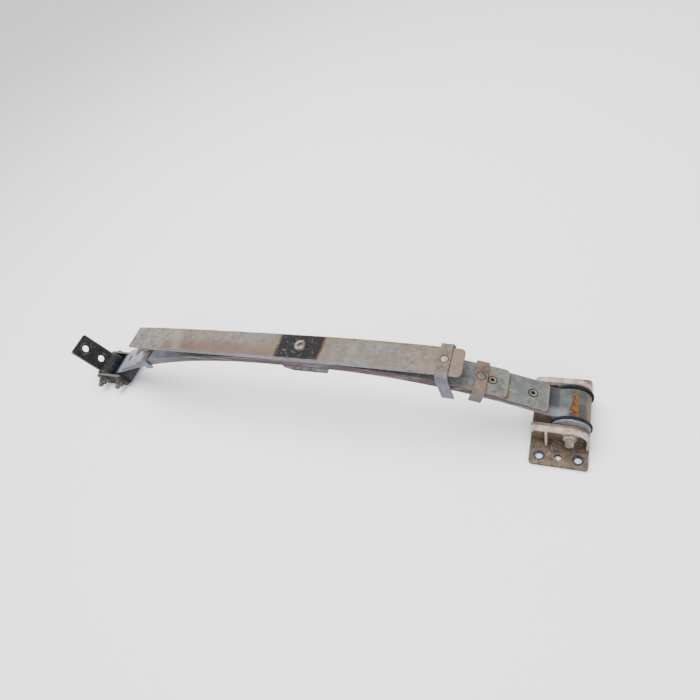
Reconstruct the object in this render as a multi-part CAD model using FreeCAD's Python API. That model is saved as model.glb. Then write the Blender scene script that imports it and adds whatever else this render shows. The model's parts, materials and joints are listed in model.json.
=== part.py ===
import FreeCAD, Part
import math
import os
from FreeCAD import Vector

# Leaf spring pack of a light commercial vehicle, lying with its axle side up.
# Millimetres. +X runs to the front hanger, Y across the leaves, +Z to the axle side.
# The origin is on the centre bolt's axis, on the seat of the overload leaf.

# ---- leaves ----
LEAF_WIDTH = 60.0
LEAF_EDGE_RADIUS = 1.8
LEAF_CORNER_RADIUS = 9.0
LEAF_THICKNESS = 6.0
SEAT_FRONT = 30.0            # flat seat of the pack, from the centre bolt to the front
SEAT_REAR = 80.0
CAMBER_FRONT = 1150.0        # radius of the third leaf's upper face
CAMBER_REAR = 1290.0
TIP_GAP = 1.0                # space that a liner keeps open at a leaf tip
SECOND_FRONT_REACH = 468.0   # tip distances from the centre bolt
SECOND_REAR_REACH = 579.0
THIRD_FRONT_REACH = SECOND_FRONT_REACH - 69.0
THIRD_REAR_REACH = SECOND_REAR_REACH - 79.0

# ---- overload leaf ----
OVERLOAD_THICKNESS = 11.0
OVERLOAD_TIP_THICKNESS = 5.0
OVERLOAD_FRONT_REACH = 325.0
OVERLOAD_REAR_REACH = THIRD_REAR_REACH - 44.0
OVERLOAD_FRONT_DROP = 13.0   # how far the upper face falls from the seat to the tip
OVERLOAD_REAR_DROP = 8.0
OVERLOAD_REAR_WIDTH = 56.0
OVERLOAD_REAR_TAPER = 90.0   # length over which the rear end narrows

# ---- main leaf eyes ----
FRONT_ARC_REACH = 470.0      # where the front half stops following its camber
FRONT_EYE_RISE = 18.0        # degrees that the leaf points up as it meets its front eye
FRONT_BEND_RADIUS = 40.0
FRONT_EYE_RADIUS = 32.0
FRONT_EYE_WRAP = 316.0
REAR_ARC_REACH = 617.0
REAR_EYE_RADIUS = 24.0
REAR_EYE_WRAP = 306.0

# ---- tip liners ----
LINER_BUTTON_RADIUS = 6.0
LINER_BUTTON_PROUD = 0.8
LINER_DISH_RADIUS = 3.2
LINER_FROM_TIP = 27.0        # button axis, measured back from the leaf tip
LINER_LENGTH = 36.0
LINER_WIDTH = 46.0

# ---- spacer and centre bolt ----
SPACER_FRONT = 55.0
SPACER_REAR = 43.0
SPACER_THICKNESS = 15.0
SPACER_BEVEL_LENGTH = 20.0
SPACER_BEVEL_HEIGHT = 9.0
BOLT_RADIUS = 6.0
BOLT_HEAD_RADIUS = 12.0
BOLT_HEAD_HEIGHT = 7.0
BOLT_SOCKET_ACROSS = 10.0
BOLT_SOCKET_DEPTH = 4.5
CENTRE_NUT_ACROSS = 19.0
CENTRE_NUT_HEIGHT = 10.0
CENTRE_BOLT_POKE = 4.0

# ---- rebound clips ----
CLIP_STRAP = 4.0
CLIP_WIDTH = 23.0
CLIP_INSET = 2.0             # the bend starts this far inside the leaf edge
OVERLOAD_CLIP_REACH = 291.0
OVERLOAD_CLIP_LEG_GAP = 7.0
OVERLOAD_CLIP_BELOW = 14.0   # leg length below the main leaf
THIRD_CLIP_FRONT_REACH = THIRD_FRONT_REACH - 48.0
THIRD_CLIP_REAR_REACH = THIRD_REAR_REACH - 50.0
THIRD_CLIP_LEG_GAP = 2.5
THIRD_FRONT_CLIP_BELOW = 9.0
THIRD_REAR_CLIP_BELOW = 3.0
OVERLOAD_CLIP_LEAN = 8.0     # degrees that the legs lean to the front as they go down
THIRD_FRONT_CLIP_LEAN = -3.0
THIRD_REAR_CLIP_LEAN = 0.0
RIVET_RADIUS = 4.0
OVERLOAD_RIVET_HEAD = 6.5
OVERLOAD_RIVET_HEIGHT = 3.6
THIRD_RIVET_HEAD = 7.5
THIRD_RIVET_HEIGHT = 2.2

# ---- front bush and hanger ----
FRONT_BOLT_RADIUS = 7.0
FRONT_SLEEVE_RADIUS = 10.5
FRONT_OUTER_SLEEVE_WALL = 1.5
FRONT_FLANGE_RADIUS = FRONT_EYE_RADIUS + 4.0
FRONT_FLANGE_THICKNESS = 5.0
FRONT_CUP_RADIUS = FRONT_FLANGE_RADIUS - 2.5
FRONT_CUP_THICKNESS = 2.2
FRONT_CUP_DISH = 2.0
EAR_THICKNESS = 6.0
EAR_LIP_WIDTH = 11.0
EAR_LIP_THICKNESS = 4.0
EAR_RISE = 20.5              # ear top above the bolt axis
EAR_FRONT = 32.0             # ear front edge ahead of the bolt axis
EAR_REAR = 67.0
EAR_TOP_RADIUS = 30.0
EAR_HEEL_RADIUS = 10.0
EAR_RIB_THICKNESS = 4.0
EAR_RIB_BEHIND = 42.0        # rib's place behind the bolt axis
FLANGE_TO_BASE = 1.5
BASE_THICKNESS = 5.5
BASE_HALF_WIDTH = 95.0
BASE_OVERHANG = 1.0
BASE_CORNER_RADIUS = 6.0
BASE_BIG_CORNER_RADIUS = 22.0
HANGER_HOLE_PITCH = 33.0
HANGER_HOLE_ROW = 78.0
HANGER_CORNER_HOLE = 6.5
HANGER_MIDDLE_HOLE = 5.5

# ---- shackle and rear bracket ----
SHACKLE_PITCH = 62.0
SHACKLE_REST_ANGLE = 180.0
SHACKLE_PLATE_THICKNESS = 6.0
SHACKLE_END_RADIUS = 21.0
SHACKLE_BOLT_RADIUS = 6.0
SHACKLE_SLEEVE_RADIUS = 9.0
SHACKLE_FLANGE_RADIUS = 22.0
SHACKLE_FLANGE_THICKNESS = 3.5
BRACKET_THICKNESS = 6.0
BRACKET_WRAP = 292.0
BRACKET_FOLD_ANGLE = 74.0    # where on the eye the strap leaves it
BRACKET_STRAP_ANGLE = 112.0
BRACKET_FOLD_RADIUS = 10.0
BRACKET_STRAP_LENGTH = 86.0
BRACKET_HOLE_RADIUS = 9.0
BRACKET_HOLE_FROM_TIP = 24.0
BRACKET_HOLE_PITCH = 47.0
BRACKET_TIP_RADIUS = 4.0

# ---- flange nuts and bolt heads ----
FRONT_NUT_ACROSS = 21.0
FRONT_NUT_FLANGE = 14.5
FRONT_NUT_HEIGHT = 14.0
FRONT_BOLT_POKE = 12.0
SHACKLE_NUT_ACROSS = 18.0
SHACKLE_NUT_FLANGE = 13.0
SHACKLE_NUT_HEIGHT = 13.0
SHACKLE_BOLT_POKE = 10.0
HEAD_HEIGHT = 8.0
NUT_FLANGE_THICKNESS = 2.5

# ---- clearances ----
RUNNING_FIT = 0.05           # radial, between a bush bore and its inner sleeve
BOLT_FIT = 0.15              # radial, between a bolt and what it passes through
FACE_GAP = 0.4               # between faces of pieces that turn against each other
LINER_SLIP = 0.05

# ---- places worked out from the sizes above ----
HALF_WIDTH = LEAF_WIDTH / 2
THIRD_TOP = -OVERLOAD_THICKNESS
SECOND_TOP = THIRD_TOP - LEAF_THICKNESS
MAIN_TOP = SECOND_TOP - LEAF_THICKNESS
MAIN_BOTTOM = MAIN_TOP - LEAF_THICKNESS
SPACER_BOTTOM = MAIN_BOTTOM - SPACER_THICKNESS


def next_camber(radius_above, reach_above, seat):
    """Radius of the next leaf's upper face, which opens TIP_GAP under the tip above it."""
    run = reach_above - LINER_FROM_TIP - seat
    angle = math.asin(run / radius_above)
    return radius_above - LEAF_THICKNESS - TIP_GAP / (1 - math.cos(angle))


SECOND_CAMBER_FRONT = next_camber(CAMBER_FRONT, THIRD_FRONT_REACH, SEAT_FRONT)
SECOND_CAMBER_REAR = next_camber(CAMBER_REAR, THIRD_REAR_REACH, SEAT_REAR)
MAIN_CAMBER_FRONT = next_camber(SECOND_CAMBER_FRONT, SECOND_FRONT_REACH, SEAT_FRONT)
MAIN_CAMBER_REAR = next_camber(SECOND_CAMBER_REAR, SECOND_REAR_REACH, SEAT_REAR)


def point(x, z, y=0.0):
    return Vector(x, y, z)


def unit(degrees):
    """Unit vector in the XZ plane, turned from +X towards +Z."""
    return point(math.cos(math.radians(degrees)), math.sin(math.radians(degrees)))


def extrude_xz(edges, y_low, y_high):
    """Solid between two Y planes from the edges of a closed outline in the XZ plane."""
    face = Part.Face(Part.Wire(edges))
    face.translate(Vector(0, y_low, 0))
    return face.extrude(Vector(0, y_high - y_low, 0))


def polygon(points):
    closed = list(points) + [points[0]]
    return [Part.makeLine(a, b) for a, b in zip(closed, closed[1:])]


def rod(radius, x, z, y_low, y_high):
    """Round bar along Y."""
    return Part.makeCylinder(radius, y_high - y_low, point(x, z, y_low), Vector(0, 1, 0))


def post(radius, x, y, z_low, z_high):
    """Round bar along Z."""
    return Part.makeCylinder(radius, z_high - z_low, Vector(x, y, z_low), Vector(0, 0, 1))


class Strip:
    """A strip of constant thickness bent along a path of lines and tangent arcs in the XZ plane."""

    def __init__(self, start, heading, thickness):
        self.place = start
        self.heading = heading
        self.thickness = thickness
        self.upper = []
        self.lower = []
        self.first_ends = self.ends()

    def ends(self):
        across = unit(self.heading + 90) * (self.thickness / 2)
        return self.place + across, self.place - across

    def line(self, length):
        upper, lower = self.ends()
        self.place = self.place + unit(self.heading) * length
        next_upper, next_lower = self.ends()
        self.upper.append(Part.makeLine(upper, next_upper))
        self.lower.append(Part.makeLine(lower, next_lower))
        return self

    def arc(self, radius, turn):
        """Turn left for a positive angle in degrees, right for a negative one."""
        side = 90 if turn > 0 else -90
        centre = self.place + unit(self.heading + side) * radius
        upper, lower = self.ends()
        stations = []
        for share in (0.5, 1.0):
            heading = self.heading + turn * share
            stations.append((centre - unit(heading + side) * radius, heading))
        marks = [(p + unit(h + 90) * (self.thickness / 2), p - unit(h + 90) * (self.thickness / 2))
                 for p, h in stations]
        self.upper.append(Part.Arc(upper, marks[0][0], marks[1][0]).toShape())
        self.lower.append(Part.Arc(lower, marks[0][1], marks[1][1]).toShape())
        self.place, self.heading = stations[1]
        return self

    def solid(self, y_low, y_high):
        start_cap = Part.makeLine(self.first_ends[1], self.first_ends[0])
        end_cap = Part.makeLine(self.ends()[0], self.ends()[1])
        return extrude_xz([start_cap] + self.upper + [end_cap] + self.lower[::-1], y_low, y_high)


class HalfLeaf:
    """Camber of one half of a leaf: a flat seat, then an arc that falls away from it."""

    def __init__(self, top, seat, radius, direction):
        self.top = top
        self.seat = seat
        self.radius = radius
        self.direction = direction

    def angle_at(self, reach):
        return math.degrees(math.asin((reach - self.seat) / self.radius))

    def on_arc(self, angle, depth=0.0):
        """Point at an angle of the arc, a depth below the upper face."""
        radius = self.radius - depth
        x = self.seat + radius * math.sin(math.radians(angle))
        z = self.top - self.radius + radius * math.cos(math.radians(angle))
        return point(self.direction * x, z)

    def seat_end(self, depth=0.0):
        return point(self.direction * self.seat, self.top - depth)

    def face_arc(self, angle, depth=0.0):
        return Part.Arc(self.seat_end(depth), self.on_arc(angle / 2, depth), self.on_arc(angle, depth))

    def placement(self, reach):
        """Frame that stands on the upper face at a reach, its Z axis square to the leaf."""
        angle = self.angle_at(reach)
        return FreeCAD.Placement(self.on_arc(angle), FreeCAD.Rotation(Vector(0, 1, 0), self.direction * angle))


THIRD_FRONT = HalfLeaf(THIRD_TOP, SEAT_FRONT, CAMBER_FRONT, 1)
THIRD_REAR = HalfLeaf(THIRD_TOP, SEAT_REAR, CAMBER_REAR, -1)
SECOND_FRONT = HalfLeaf(SECOND_TOP, SEAT_FRONT, SECOND_CAMBER_FRONT, 1)
SECOND_REAR = HalfLeaf(SECOND_TOP, SEAT_REAR, SECOND_CAMBER_REAR, -1)
MAIN_FRONT = HalfLeaf(MAIN_TOP, SEAT_FRONT, MAIN_CAMBER_FRONT, 1)
MAIN_REAR = HalfLeaf(MAIN_TOP, SEAT_REAR, MAIN_CAMBER_REAR, -1)


def soften(solid, corner_edges, corner_radius, edge_radius):
    """Round the plan corners of a leaf, then the edges of its rolled stock."""
    rounded = solid.makeFillet(corner_radius, corner_edges) if corner_edges else solid
    side_y = max(abs(rounded.BoundBox.YMin), abs(rounded.BoundBox.YMax))
    long_edges = []
    for edge in rounded.Edges:
        box = edge.BoundBox
        on_side = box.YLength < 0.01 and abs(abs(box.YMin) - side_y) < 0.01
        along = max(box.XLength, box.ZLength) > LEAF_THICKNESS * 1.5 and on_side
        if along:
            long_edges.append(edge)
    return rounded.makeFillet(edge_radius, long_edges)


def tip_corner_edges(solid, tips, reach_tolerance=4.0):
    """Edges through the thickness at the leaf tips."""
    found = []
    for edge in solid.Edges:
        box = edge.BoundBox
        through = box.YLength < 0.01 and box.ZLength > 1.0 and edge.Length < OVERLOAD_THICKNESS + 2
        if through and any(abs(edge.CenterOfMass.x - x) < reach_tolerance for x in tips):
            found.append(edge)
    return found


def plain_leaf(front, rear, front_reach, rear_reach):
    """A cambered leaf of constant thickness with radial tips and rounded corners."""
    t = LEAF_THICKNESS
    a = front.angle_at(front_reach)
    b = rear.angle_at(rear_reach)
    edges = [
        Part.makeLine(rear.seat_end(), front.seat_end()),
        front.face_arc(a).toShape(),
        Part.makeLine(front.on_arc(a), front.on_arc(a, t)),
        front.face_arc(a, t).toShape(),
        Part.makeLine(front.seat_end(t), rear.seat_end(t)),
        rear.face_arc(b, t).toShape(),
        Part.makeLine(rear.on_arc(b, t), rear.on_arc(b)),
        rear.face_arc(b).toShape(),
    ]
    solid = extrude_xz(edges, -HALF_WIDTH, HALF_WIDTH)
    tips = (front_reach, -rear_reach)
    return soften(solid, tip_corner_edges(solid, tips), LEAF_CORNER_RADIUS, LEAF_EDGE_RADIUS)


def drilled(solid, half, reach, radius):
    """Hole square to the leaf's upper face."""
    tool = Part.makeCylinder(radius, 60, Vector(0, 0, -30), Vector(0, 0, 1))
    tool.Placement = half.placement(reach)
    return solid.cut(tool)


def centre_hole(solid):
    return solid.cut(post(BOLT_RADIUS + BOLT_FIT, 0, 0, SPACER_BOTTOM - 20, 20))


def third_leaf():
    leaf = plain_leaf(THIRD_FRONT, THIRD_REAR, THIRD_FRONT_REACH, THIRD_REAR_REACH)
    for half, reach in ((THIRD_FRONT, THIRD_FRONT_REACH), (THIRD_REAR, THIRD_REAR_REACH)):
        leaf = drilled(leaf, half, reach - LINER_FROM_TIP, LINER_BUTTON_RADIUS + LINER_SLIP)
    for half, reach in ((THIRD_FRONT, THIRD_CLIP_FRONT_REACH), (THIRD_REAR, THIRD_CLIP_REAR_REACH)):
        leaf = drilled(leaf, half, reach, RIVET_RADIUS)
    return centre_hole(leaf)


def second_leaf():
    leaf = plain_leaf(SECOND_FRONT, SECOND_REAR, SECOND_FRONT_REACH, SECOND_REAR_REACH)
    for half, reach in ((SECOND_FRONT, SECOND_FRONT_REACH), (SECOND_REAR, SECOND_REAR_REACH)):
        leaf = drilled(leaf, half, reach - LINER_FROM_TIP, LINER_BUTTON_RADIUS + LINER_SLIP)
    return centre_hole(leaf)


def half_overload_edges(direction, seat, reach, drop):
    """Upper and lower arcs of one half of the overload leaf, and its tip."""
    top_tip = point(direction * reach, -drop)
    low_tip = point(direction * reach, -drop - OVERLOAD_TIP_THICKNESS)
    run = reach - seat
    fall = drop + OVERLOAD_TIP_THICKNESS - OVERLOAD_THICKNESS
    top_mid = point(direction * (seat + run / 2), -drop / 4)
    low_mid = point(direction * (seat + run / 2), -OVERLOAD_THICKNESS - fall / 4)
    top = Part.Arc(point(direction * seat, 0), top_mid, top_tip).toShape()
    low = Part.Arc(point(direction * seat, -OVERLOAD_THICKNESS), low_mid, low_tip).toShape()
    return top, Part.makeLine(top_tip, low_tip), low


def overload_leaf():
    front = half_overload_edges(1, SEAT_FRONT, OVERLOAD_FRONT_REACH, OVERLOAD_FRONT_DROP)
    rear = half_overload_edges(-1, SEAT_REAR, OVERLOAD_REAR_REACH, OVERLOAD_REAR_DROP)
    top_seat = Part.makeLine(point(-SEAT_REAR, 0), point(SEAT_FRONT, 0))
    low_seat = Part.makeLine(point(SEAT_FRONT, -OVERLOAD_THICKNESS), point(-SEAT_REAR, -OVERLOAD_THICKNESS))
    edges = [top_seat, front[0], front[1], front[2], low_seat, rear[2], rear[1], rear[0]]
    solid = extrude_xz(edges, -HALF_WIDTH, HALF_WIDTH)
    corners = tip_corner_edges(solid, (OVERLOAD_FRONT_REACH,))
    solid = soften(solid, corners, LEAF_CORNER_RADIUS, LEAF_EDGE_RADIUS)
    taper_start = -OVERLOAD_REAR_REACH + OVERLOAD_REAR_TAPER
    taper_end = -OVERLOAD_REAR_REACH - 5
    beyond = HALF_WIDTH + 5
    for side in (-1, 1):
        wedge = [
            Vector(taper_start, side * HALF_WIDTH, -60),
            Vector(taper_end, side * OVERLOAD_REAR_WIDTH / 2, -60),
            Vector(taper_end, side * beyond, -60),
            Vector(taper_start, side * beyond, -60),
        ]
        solid = solid.cut(Part.Face(Part.makePolygon(wedge + [wedge[0]])).extrude(Vector(0, 0, 90)))
    tool = Part.makeCylinder(RIVET_RADIUS, 60, Vector(0, 0, -30), Vector(0, 0, 1))
    tool.Placement = overload_placement(OVERLOAD_CLIP_REACH)
    return centre_hole(solid.cut(tool))


def overload_placement(reach):
    """Frame on the upper face of the overload leaf's front half, its Z axis square to the leaf."""
    middle = point((SEAT_FRONT + OVERLOAD_FRONT_REACH) / 2, -OVERLOAD_FRONT_DROP / 4)
    arc = Part.Arc(point(SEAT_FRONT, 0), middle, point(OVERLOAD_FRONT_REACH, -OVERLOAD_FRONT_DROP))
    circle = arc.toShape().Curve
    angle = math.degrees(math.asin((reach - circle.Center.x) / circle.Radius))
    place = circle.Center + unit(90 - angle) * circle.Radius
    return FreeCAD.Placement(place, FreeCAD.Rotation(Vector(0, 1, 0), angle))


def main_front_strip():
    middle = point(0, MAIN_TOP - LEAF_THICKNESS / 2)
    angle = MAIN_FRONT.angle_at(FRONT_ARC_REACH)
    strip = Strip(middle, 0, LEAF_THICKNESS)
    strip.line(SEAT_FRONT)
    strip.arc(MAIN_CAMBER_FRONT - LEAF_THICKNESS / 2, -angle)
    strip.arc(FRONT_BEND_RADIUS, angle + FRONT_EYE_RISE)
    return strip


def main_rear_strip():
    middle = point(0, MAIN_TOP - LEAF_THICKNESS / 2)
    strip = Strip(middle, 180, LEAF_THICKNESS)
    strip.line(SEAT_REAR)
    strip.arc(MAIN_CAMBER_REAR - LEAF_THICKNESS / 2, MAIN_REAR.angle_at(REAR_ARC_REACH))
    return strip


def eye_centre(strip, radius, side):
    return strip.place + unit(strip.heading + side) * (radius - LEAF_THICKNESS / 2)


FRONT_EYE = eye_centre(main_front_strip(), FRONT_EYE_RADIUS, -90)
REAR_EYE = eye_centre(main_rear_strip(), REAR_EYE_RADIUS, 90)
BRACKET_EYE = REAR_EYE + unit(SHACKLE_REST_ANGLE) * SHACKLE_PITCH


def main_leaf():
    """Both halves with their rolled eyes, as one bar with rounded edges."""
    front = main_front_strip()
    front.arc(FRONT_EYE_RADIUS - LEAF_THICKNESS / 2, -FRONT_EYE_WRAP)
    rear = main_rear_strip()
    rear.arc(REAR_EYE_RADIUS - LEAF_THICKNESS / 2, REAR_EYE_WRAP)
    solid = front.solid(-HALF_WIDTH, HALF_WIDTH).fuse(rear.solid(-HALF_WIDTH, HALF_WIDTH)).removeSplitter()
    solid = solid.Solids[0]
    return centre_hole(soften(solid, [], 0, LEAF_EDGE_RADIUS))


def liner(upper, lower, reach):
    """Anti-squeak pad between two leaves with a button that snaps up through the upper one."""
    t = LEAF_THICKNESS
    axis_reach = reach - LINER_FROM_TIP
    near = upper.angle_at(axis_reach - LINER_LENGTH / 2)
    far = upper.angle_at(axis_reach + LINER_LENGTH / 2)
    low_near = lower.angle_at(axis_reach - LINER_LENGTH / 2)
    low_far = lower.angle_at(axis_reach + LINER_LENGTH / 2)
    corners = [upper.on_arc(near, t), upper.on_arc(far, t),
               lower.on_arc(low_far, -LINER_SLIP), lower.on_arc(low_near, -LINER_SLIP)]
    edges = [
        Part.Arc(corners[0], upper.on_arc((near + far) / 2, t), corners[1]).toShape(),
        Part.makeLine(corners[1], corners[2]),
        Part.Arc(corners[2], lower.on_arc((low_near + low_far) / 2, -LINER_SLIP), corners[3]).toShape(),
        Part.makeLine(corners[3], corners[0]),
    ]
    pad = extrude_xz(edges, -LINER_WIDTH / 2, LINER_WIDTH / 2)
    root = t + TIP_GAP / 2
    height = root + LINER_BUTTON_PROUD
    button = Part.makeCylinder(LINER_BUTTON_RADIUS, height, Vector(0, 0, -root), Vector(0, 0, 1))
    dish = Part.makeCylinder(LINER_DISH_RADIUS, 3, Vector(0, 0, LINER_BUTTON_PROUD - 1.5), Vector(0, 0, 1))
    rim = [e for e in button.Edges if e.Closed and e.CenterOfMass.z > 0]
    button = button.makeFillet(0.6, rim).cut(dish)
    button.Placement = upper.placement(axis_reach)
    return pad.fuse(button)


def spacer_plate():
    """Plate under the pack; its front end is relieved along the main leaf's camber."""
    bottom = SPACER_BOTTOM
    relief = MAIN_FRONT.on_arc(MAIN_FRONT.angle_at(SPACER_FRONT), LEAF_THICKNESS)
    outline = polygon([
        point(-SPACER_REAR, MAIN_BOTTOM), MAIN_FRONT.seat_end(LEAF_THICKNESS), point(SPACER_FRONT, relief.z),
        point(SPACER_FRONT, bottom), point(-SPACER_REAR + SPACER_BEVEL_LENGTH, bottom),
        point(-SPACER_REAR, bottom + SPACER_BEVEL_HEIGHT),
    ])
    plate = extrude_xz(outline, -HALF_WIDTH, HALF_WIDTH)
    crosswise = [e for e in plate.Edges if e.BoundBox.YLength > LEAF_WIDTH - 1]
    ends = [e for e in crosswise if e.CenterOfMass.z < MAIN_BOTTOM - 1]
    return centre_hole(plate.makeFillet(1.5, ends))


def hexagon(across, centre, normal_y):
    """Regular hexagon face, square to Y or to Z."""
    corner = across / math.sqrt(3)
    points = []
    for step in range(6):
        angle = math.radians(60 * step + 15)
        a = corner * math.cos(angle)
        b = corner * math.sin(angle)
        points.append(centre + (Vector(a, 0, b) if normal_y else Vector(a, b, 0)))
    return Part.Face(Part.makePolygon(points + [points[0]]))


def centre_bolt():
    head = post(BOLT_HEAD_RADIUS, 0, 0, 0, BOLT_HEAD_HEIGHT)
    top = [e for e in head.Edges if e.Closed and e.CenterOfMass.z > BOLT_HEAD_HEIGHT / 2]
    head = head.makeFillet(1.2, top)
    socket = hexagon(BOLT_SOCKET_ACROSS, Vector(0, 0, BOLT_HEAD_HEIGHT - BOLT_SOCKET_DEPTH), False)
    head = head.cut(socket.extrude(Vector(0, 0, BOLT_HEAD_HEIGHT)))
    end = SPACER_BOTTOM - CENTRE_NUT_HEIGHT - CENTRE_BOLT_POKE
    shank = post(BOLT_RADIUS, 0, 0, end, 0)
    tip = [e for e in shank.Edges if e.Closed and e.CenterOfMass.z < end + 0.1]
    return head.fuse(shank.makeChamfer(1.0, tip))


def centre_nut():
    low = SPACER_BOTTOM - CENTRE_NUT_HEIGHT
    nut = hexagon(CENTRE_NUT_ACROSS, Vector(0, 0, low), False).extrude(Vector(0, 0, CENTRE_NUT_HEIGHT))
    cone_radius = CENTRE_NUT_ACROSS / math.sqrt(3)
    dome = Part.makeCone(cone_radius - 1.8, cone_radius + 0.2, 2.0, Vector(0, 0, low), Vector(0, 0, 1))
    body = dome.fuse(post(cone_radius + 0.2, 0, 0, low + 2, SPACER_BOTTOM))
    return nut.common(body).cut(post(BOLT_RADIUS, 0, 0, low - 1, SPACER_BOTTOM + 1))


def leaning(solid, degrees):
    """Shear a clip along the leaf, so that its legs lean."""
    shear = FreeCAD.Matrix()
    shear.A13 = -math.tan(math.radians(degrees))
    return solid.transformGeometry(shear)


def clip_strap(leg_gap, leg_low, lean):
    """Clip in its own frame: it stands on the leaf face at Z 0 and its legs go down both sides."""
    leg_y = HALF_WIDTH + leg_gap + CLIP_STRAP / 2
    bend = leg_y - (HALF_WIDTH - CLIP_INSET)
    strip = Strip(point(-leg_y, leg_low), 90, CLIP_STRAP)
    strip.line(CLIP_STRAP / 2 - bend - leg_low)
    strip.arc(bend, -90)
    strip.line(2 * (HALF_WIDTH - CLIP_INSET))
    strip.arc(bend, -90)
    strip.line(CLIP_STRAP / 2 - bend - leg_low)
    solid = strip.solid(-CLIP_WIDTH / 2, CLIP_WIDTH / 2)
    solid.rotate(Vector(0, 0, 0), Vector(0, 0, 1), 90)
    flat_edges = [e for e in solid.Edges if e.BoundBox.XLength < 0.01 and e.Length > CLIP_STRAP + 1]
    rims = [e for e in flat_edges if abs(abs(e.CenterOfMass.x) - CLIP_WIDTH / 2) < 0.01]
    solid = solid.makeFillet(0.8, rims)
    if lean:
        solid = leaning(solid, lean)
    return solid.cut(Part.makeCylinder(RIVET_RADIUS, 20, Vector(0, 0, -5), Vector(0, 0, 1)))


def rivet(head_radius, head_height, grip):
    """Rivet in the clip's frame: a low dome on the strap and a shank that ends flush."""
    sphere_radius = (head_radius ** 2 + head_height ** 2) / (2 * head_height)
    centre_z = CLIP_STRAP + head_height - sphere_radius
    dome = Part.makeSphere(sphere_radius, Vector(0, 0, centre_z))
    above = Part.makeBox(100, 100, 50, Vector(-50, -50, CLIP_STRAP))
    shank = Part.makeCylinder(RIVET_RADIUS, grip + CLIP_STRAP, Vector(0, 0, -grip), Vector(0, 0, 1))
    return dome.common(above).fuse(shank)


def placed(shape, placement):
    copy = shape.copy()
    copy.Placement = placement
    return copy


def overload_clip_leg_low():
    """Lowest leg point of the overload clip, in its own frame."""
    place = overload_placement(OVERLOAD_CLIP_REACH).Base
    under = MAIN_FRONT.on_arc(MAIN_FRONT.angle_at(OVERLOAD_CLIP_REACH), LEAF_THICKNESS)
    return under.z - place.z - OVERLOAD_CLIP_BELOW


PACK_BELOW_THIRD = 3 * LEAF_THICKNESS + 2 * TIP_GAP


def front_bush():
    """Outer sleeve and rubber of the front eye."""
    x, z = FRONT_EYE.x, FRONT_EYE.z
    bore = FRONT_EYE_RADIUS - LEAF_THICKNESS
    inside = bore - FRONT_OUTER_SLEEVE_WALL
    outer = rod(bore, x, z, -HALF_WIDTH, HALF_WIDTH).cut(rod(inside, x, z, -HALF_WIDTH, HALF_WIDTH))
    reach = HALF_WIDTH + FRONT_FLANGE_THICKNESS
    rubber = rod(inside, x, z, -HALF_WIDTH, HALF_WIDTH)
    for low in (-reach, HALF_WIDTH):
        flange = rod(FRONT_FLANGE_RADIUS, x, z, low, low + FRONT_FLANGE_THICKNESS)
        circles = [e for e in flange.Edges if e.Closed and e.Length > 6 * FRONT_FLANGE_RADIUS]
        outer_rim = [e for e in circles if abs(e.CenterOfMass.y) > HALF_WIDTH + 1]
        rubber = rubber.fuse(flange.makeFillet(1.5, outer_rim))
    bore_tool = rod(FRONT_SLEEVE_RADIUS + RUNNING_FIT, x, z, -reach - 1, reach + 1)
    return outer, rubber.removeSplitter().cut(bore_tool)


FRONT_SLEEVE_END = HALF_WIDTH + FRONT_FLANGE_THICKNESS + FACE_GAP
FRONT_EAR_INSIDE = FRONT_SLEEVE_END + FRONT_CUP_THICKNESS + FRONT_CUP_DISH
FRONT_EAR_OUTSIDE = FRONT_EAR_INSIDE + EAR_THICKNESS


def tube(x, z, outer, inner, y_low, y_high):
    return rod(outer, x, z, y_low, y_high).cut(rod(inner, x, z, y_low, y_high))


def front_cup(side):
    """Dished steel washer between the rubber flange and an ear."""
    t = FRONT_CUP_THICKNESS
    start = FRONT_SLEEVE_END
    inner = FRONT_BOLT_RADIUS + BOLT_FIT
    flat = FRONT_CUP_RADIUS * 0.6
    profile = [
        Vector(inner, start + FRONT_CUP_DISH, 0), Vector(flat, start + FRONT_CUP_DISH, 0),
        Vector(FRONT_CUP_RADIUS, start, 0), Vector(FRONT_CUP_RADIUS, start + t, 0),
        Vector(flat, start + FRONT_CUP_DISH + t, 0), Vector(inner, start + FRONT_CUP_DISH + t, 0),
    ]
    face = Part.Face(Part.makePolygon(profile + [profile[0]]))
    cup = face.revolve(Vector(0, 0, 0), Vector(0, 1, 0), 360)
    if side < 0:
        cup = cup.mirror(Vector(0, 0, 0), Vector(0, 1, 0))
    cup.translate(FRONT_EYE)
    return cup


BASE_TOP = FRONT_EYE.z - FRONT_FLANGE_RADIUS - FLANGE_TO_BASE
EAR_TOP = FRONT_EYE.z + EAR_RISE
EAR_X_FRONT = FRONT_EYE.x + EAR_FRONT
EAR_X_REAR = FRONT_EYE.x - EAR_REAR


def ear_strip():
    """Lip of an ear: round the heel, over the top and down the front edge."""
    inset = EAR_LIP_THICKNESS / 2
    strip = Strip(point(EAR_X_REAR + inset, EAR_TOP - EAR_HEEL_RADIUS), 90, EAR_LIP_THICKNESS)
    strip.arc(EAR_HEEL_RADIUS - inset, -90)
    strip.line(EAR_X_FRONT - EAR_X_REAR - EAR_HEEL_RADIUS - EAR_TOP_RADIUS)
    strip.arc(EAR_TOP_RADIUS - inset, -90)
    strip.line(EAR_TOP - BASE_TOP - EAR_TOP_RADIUS)
    return strip


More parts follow.
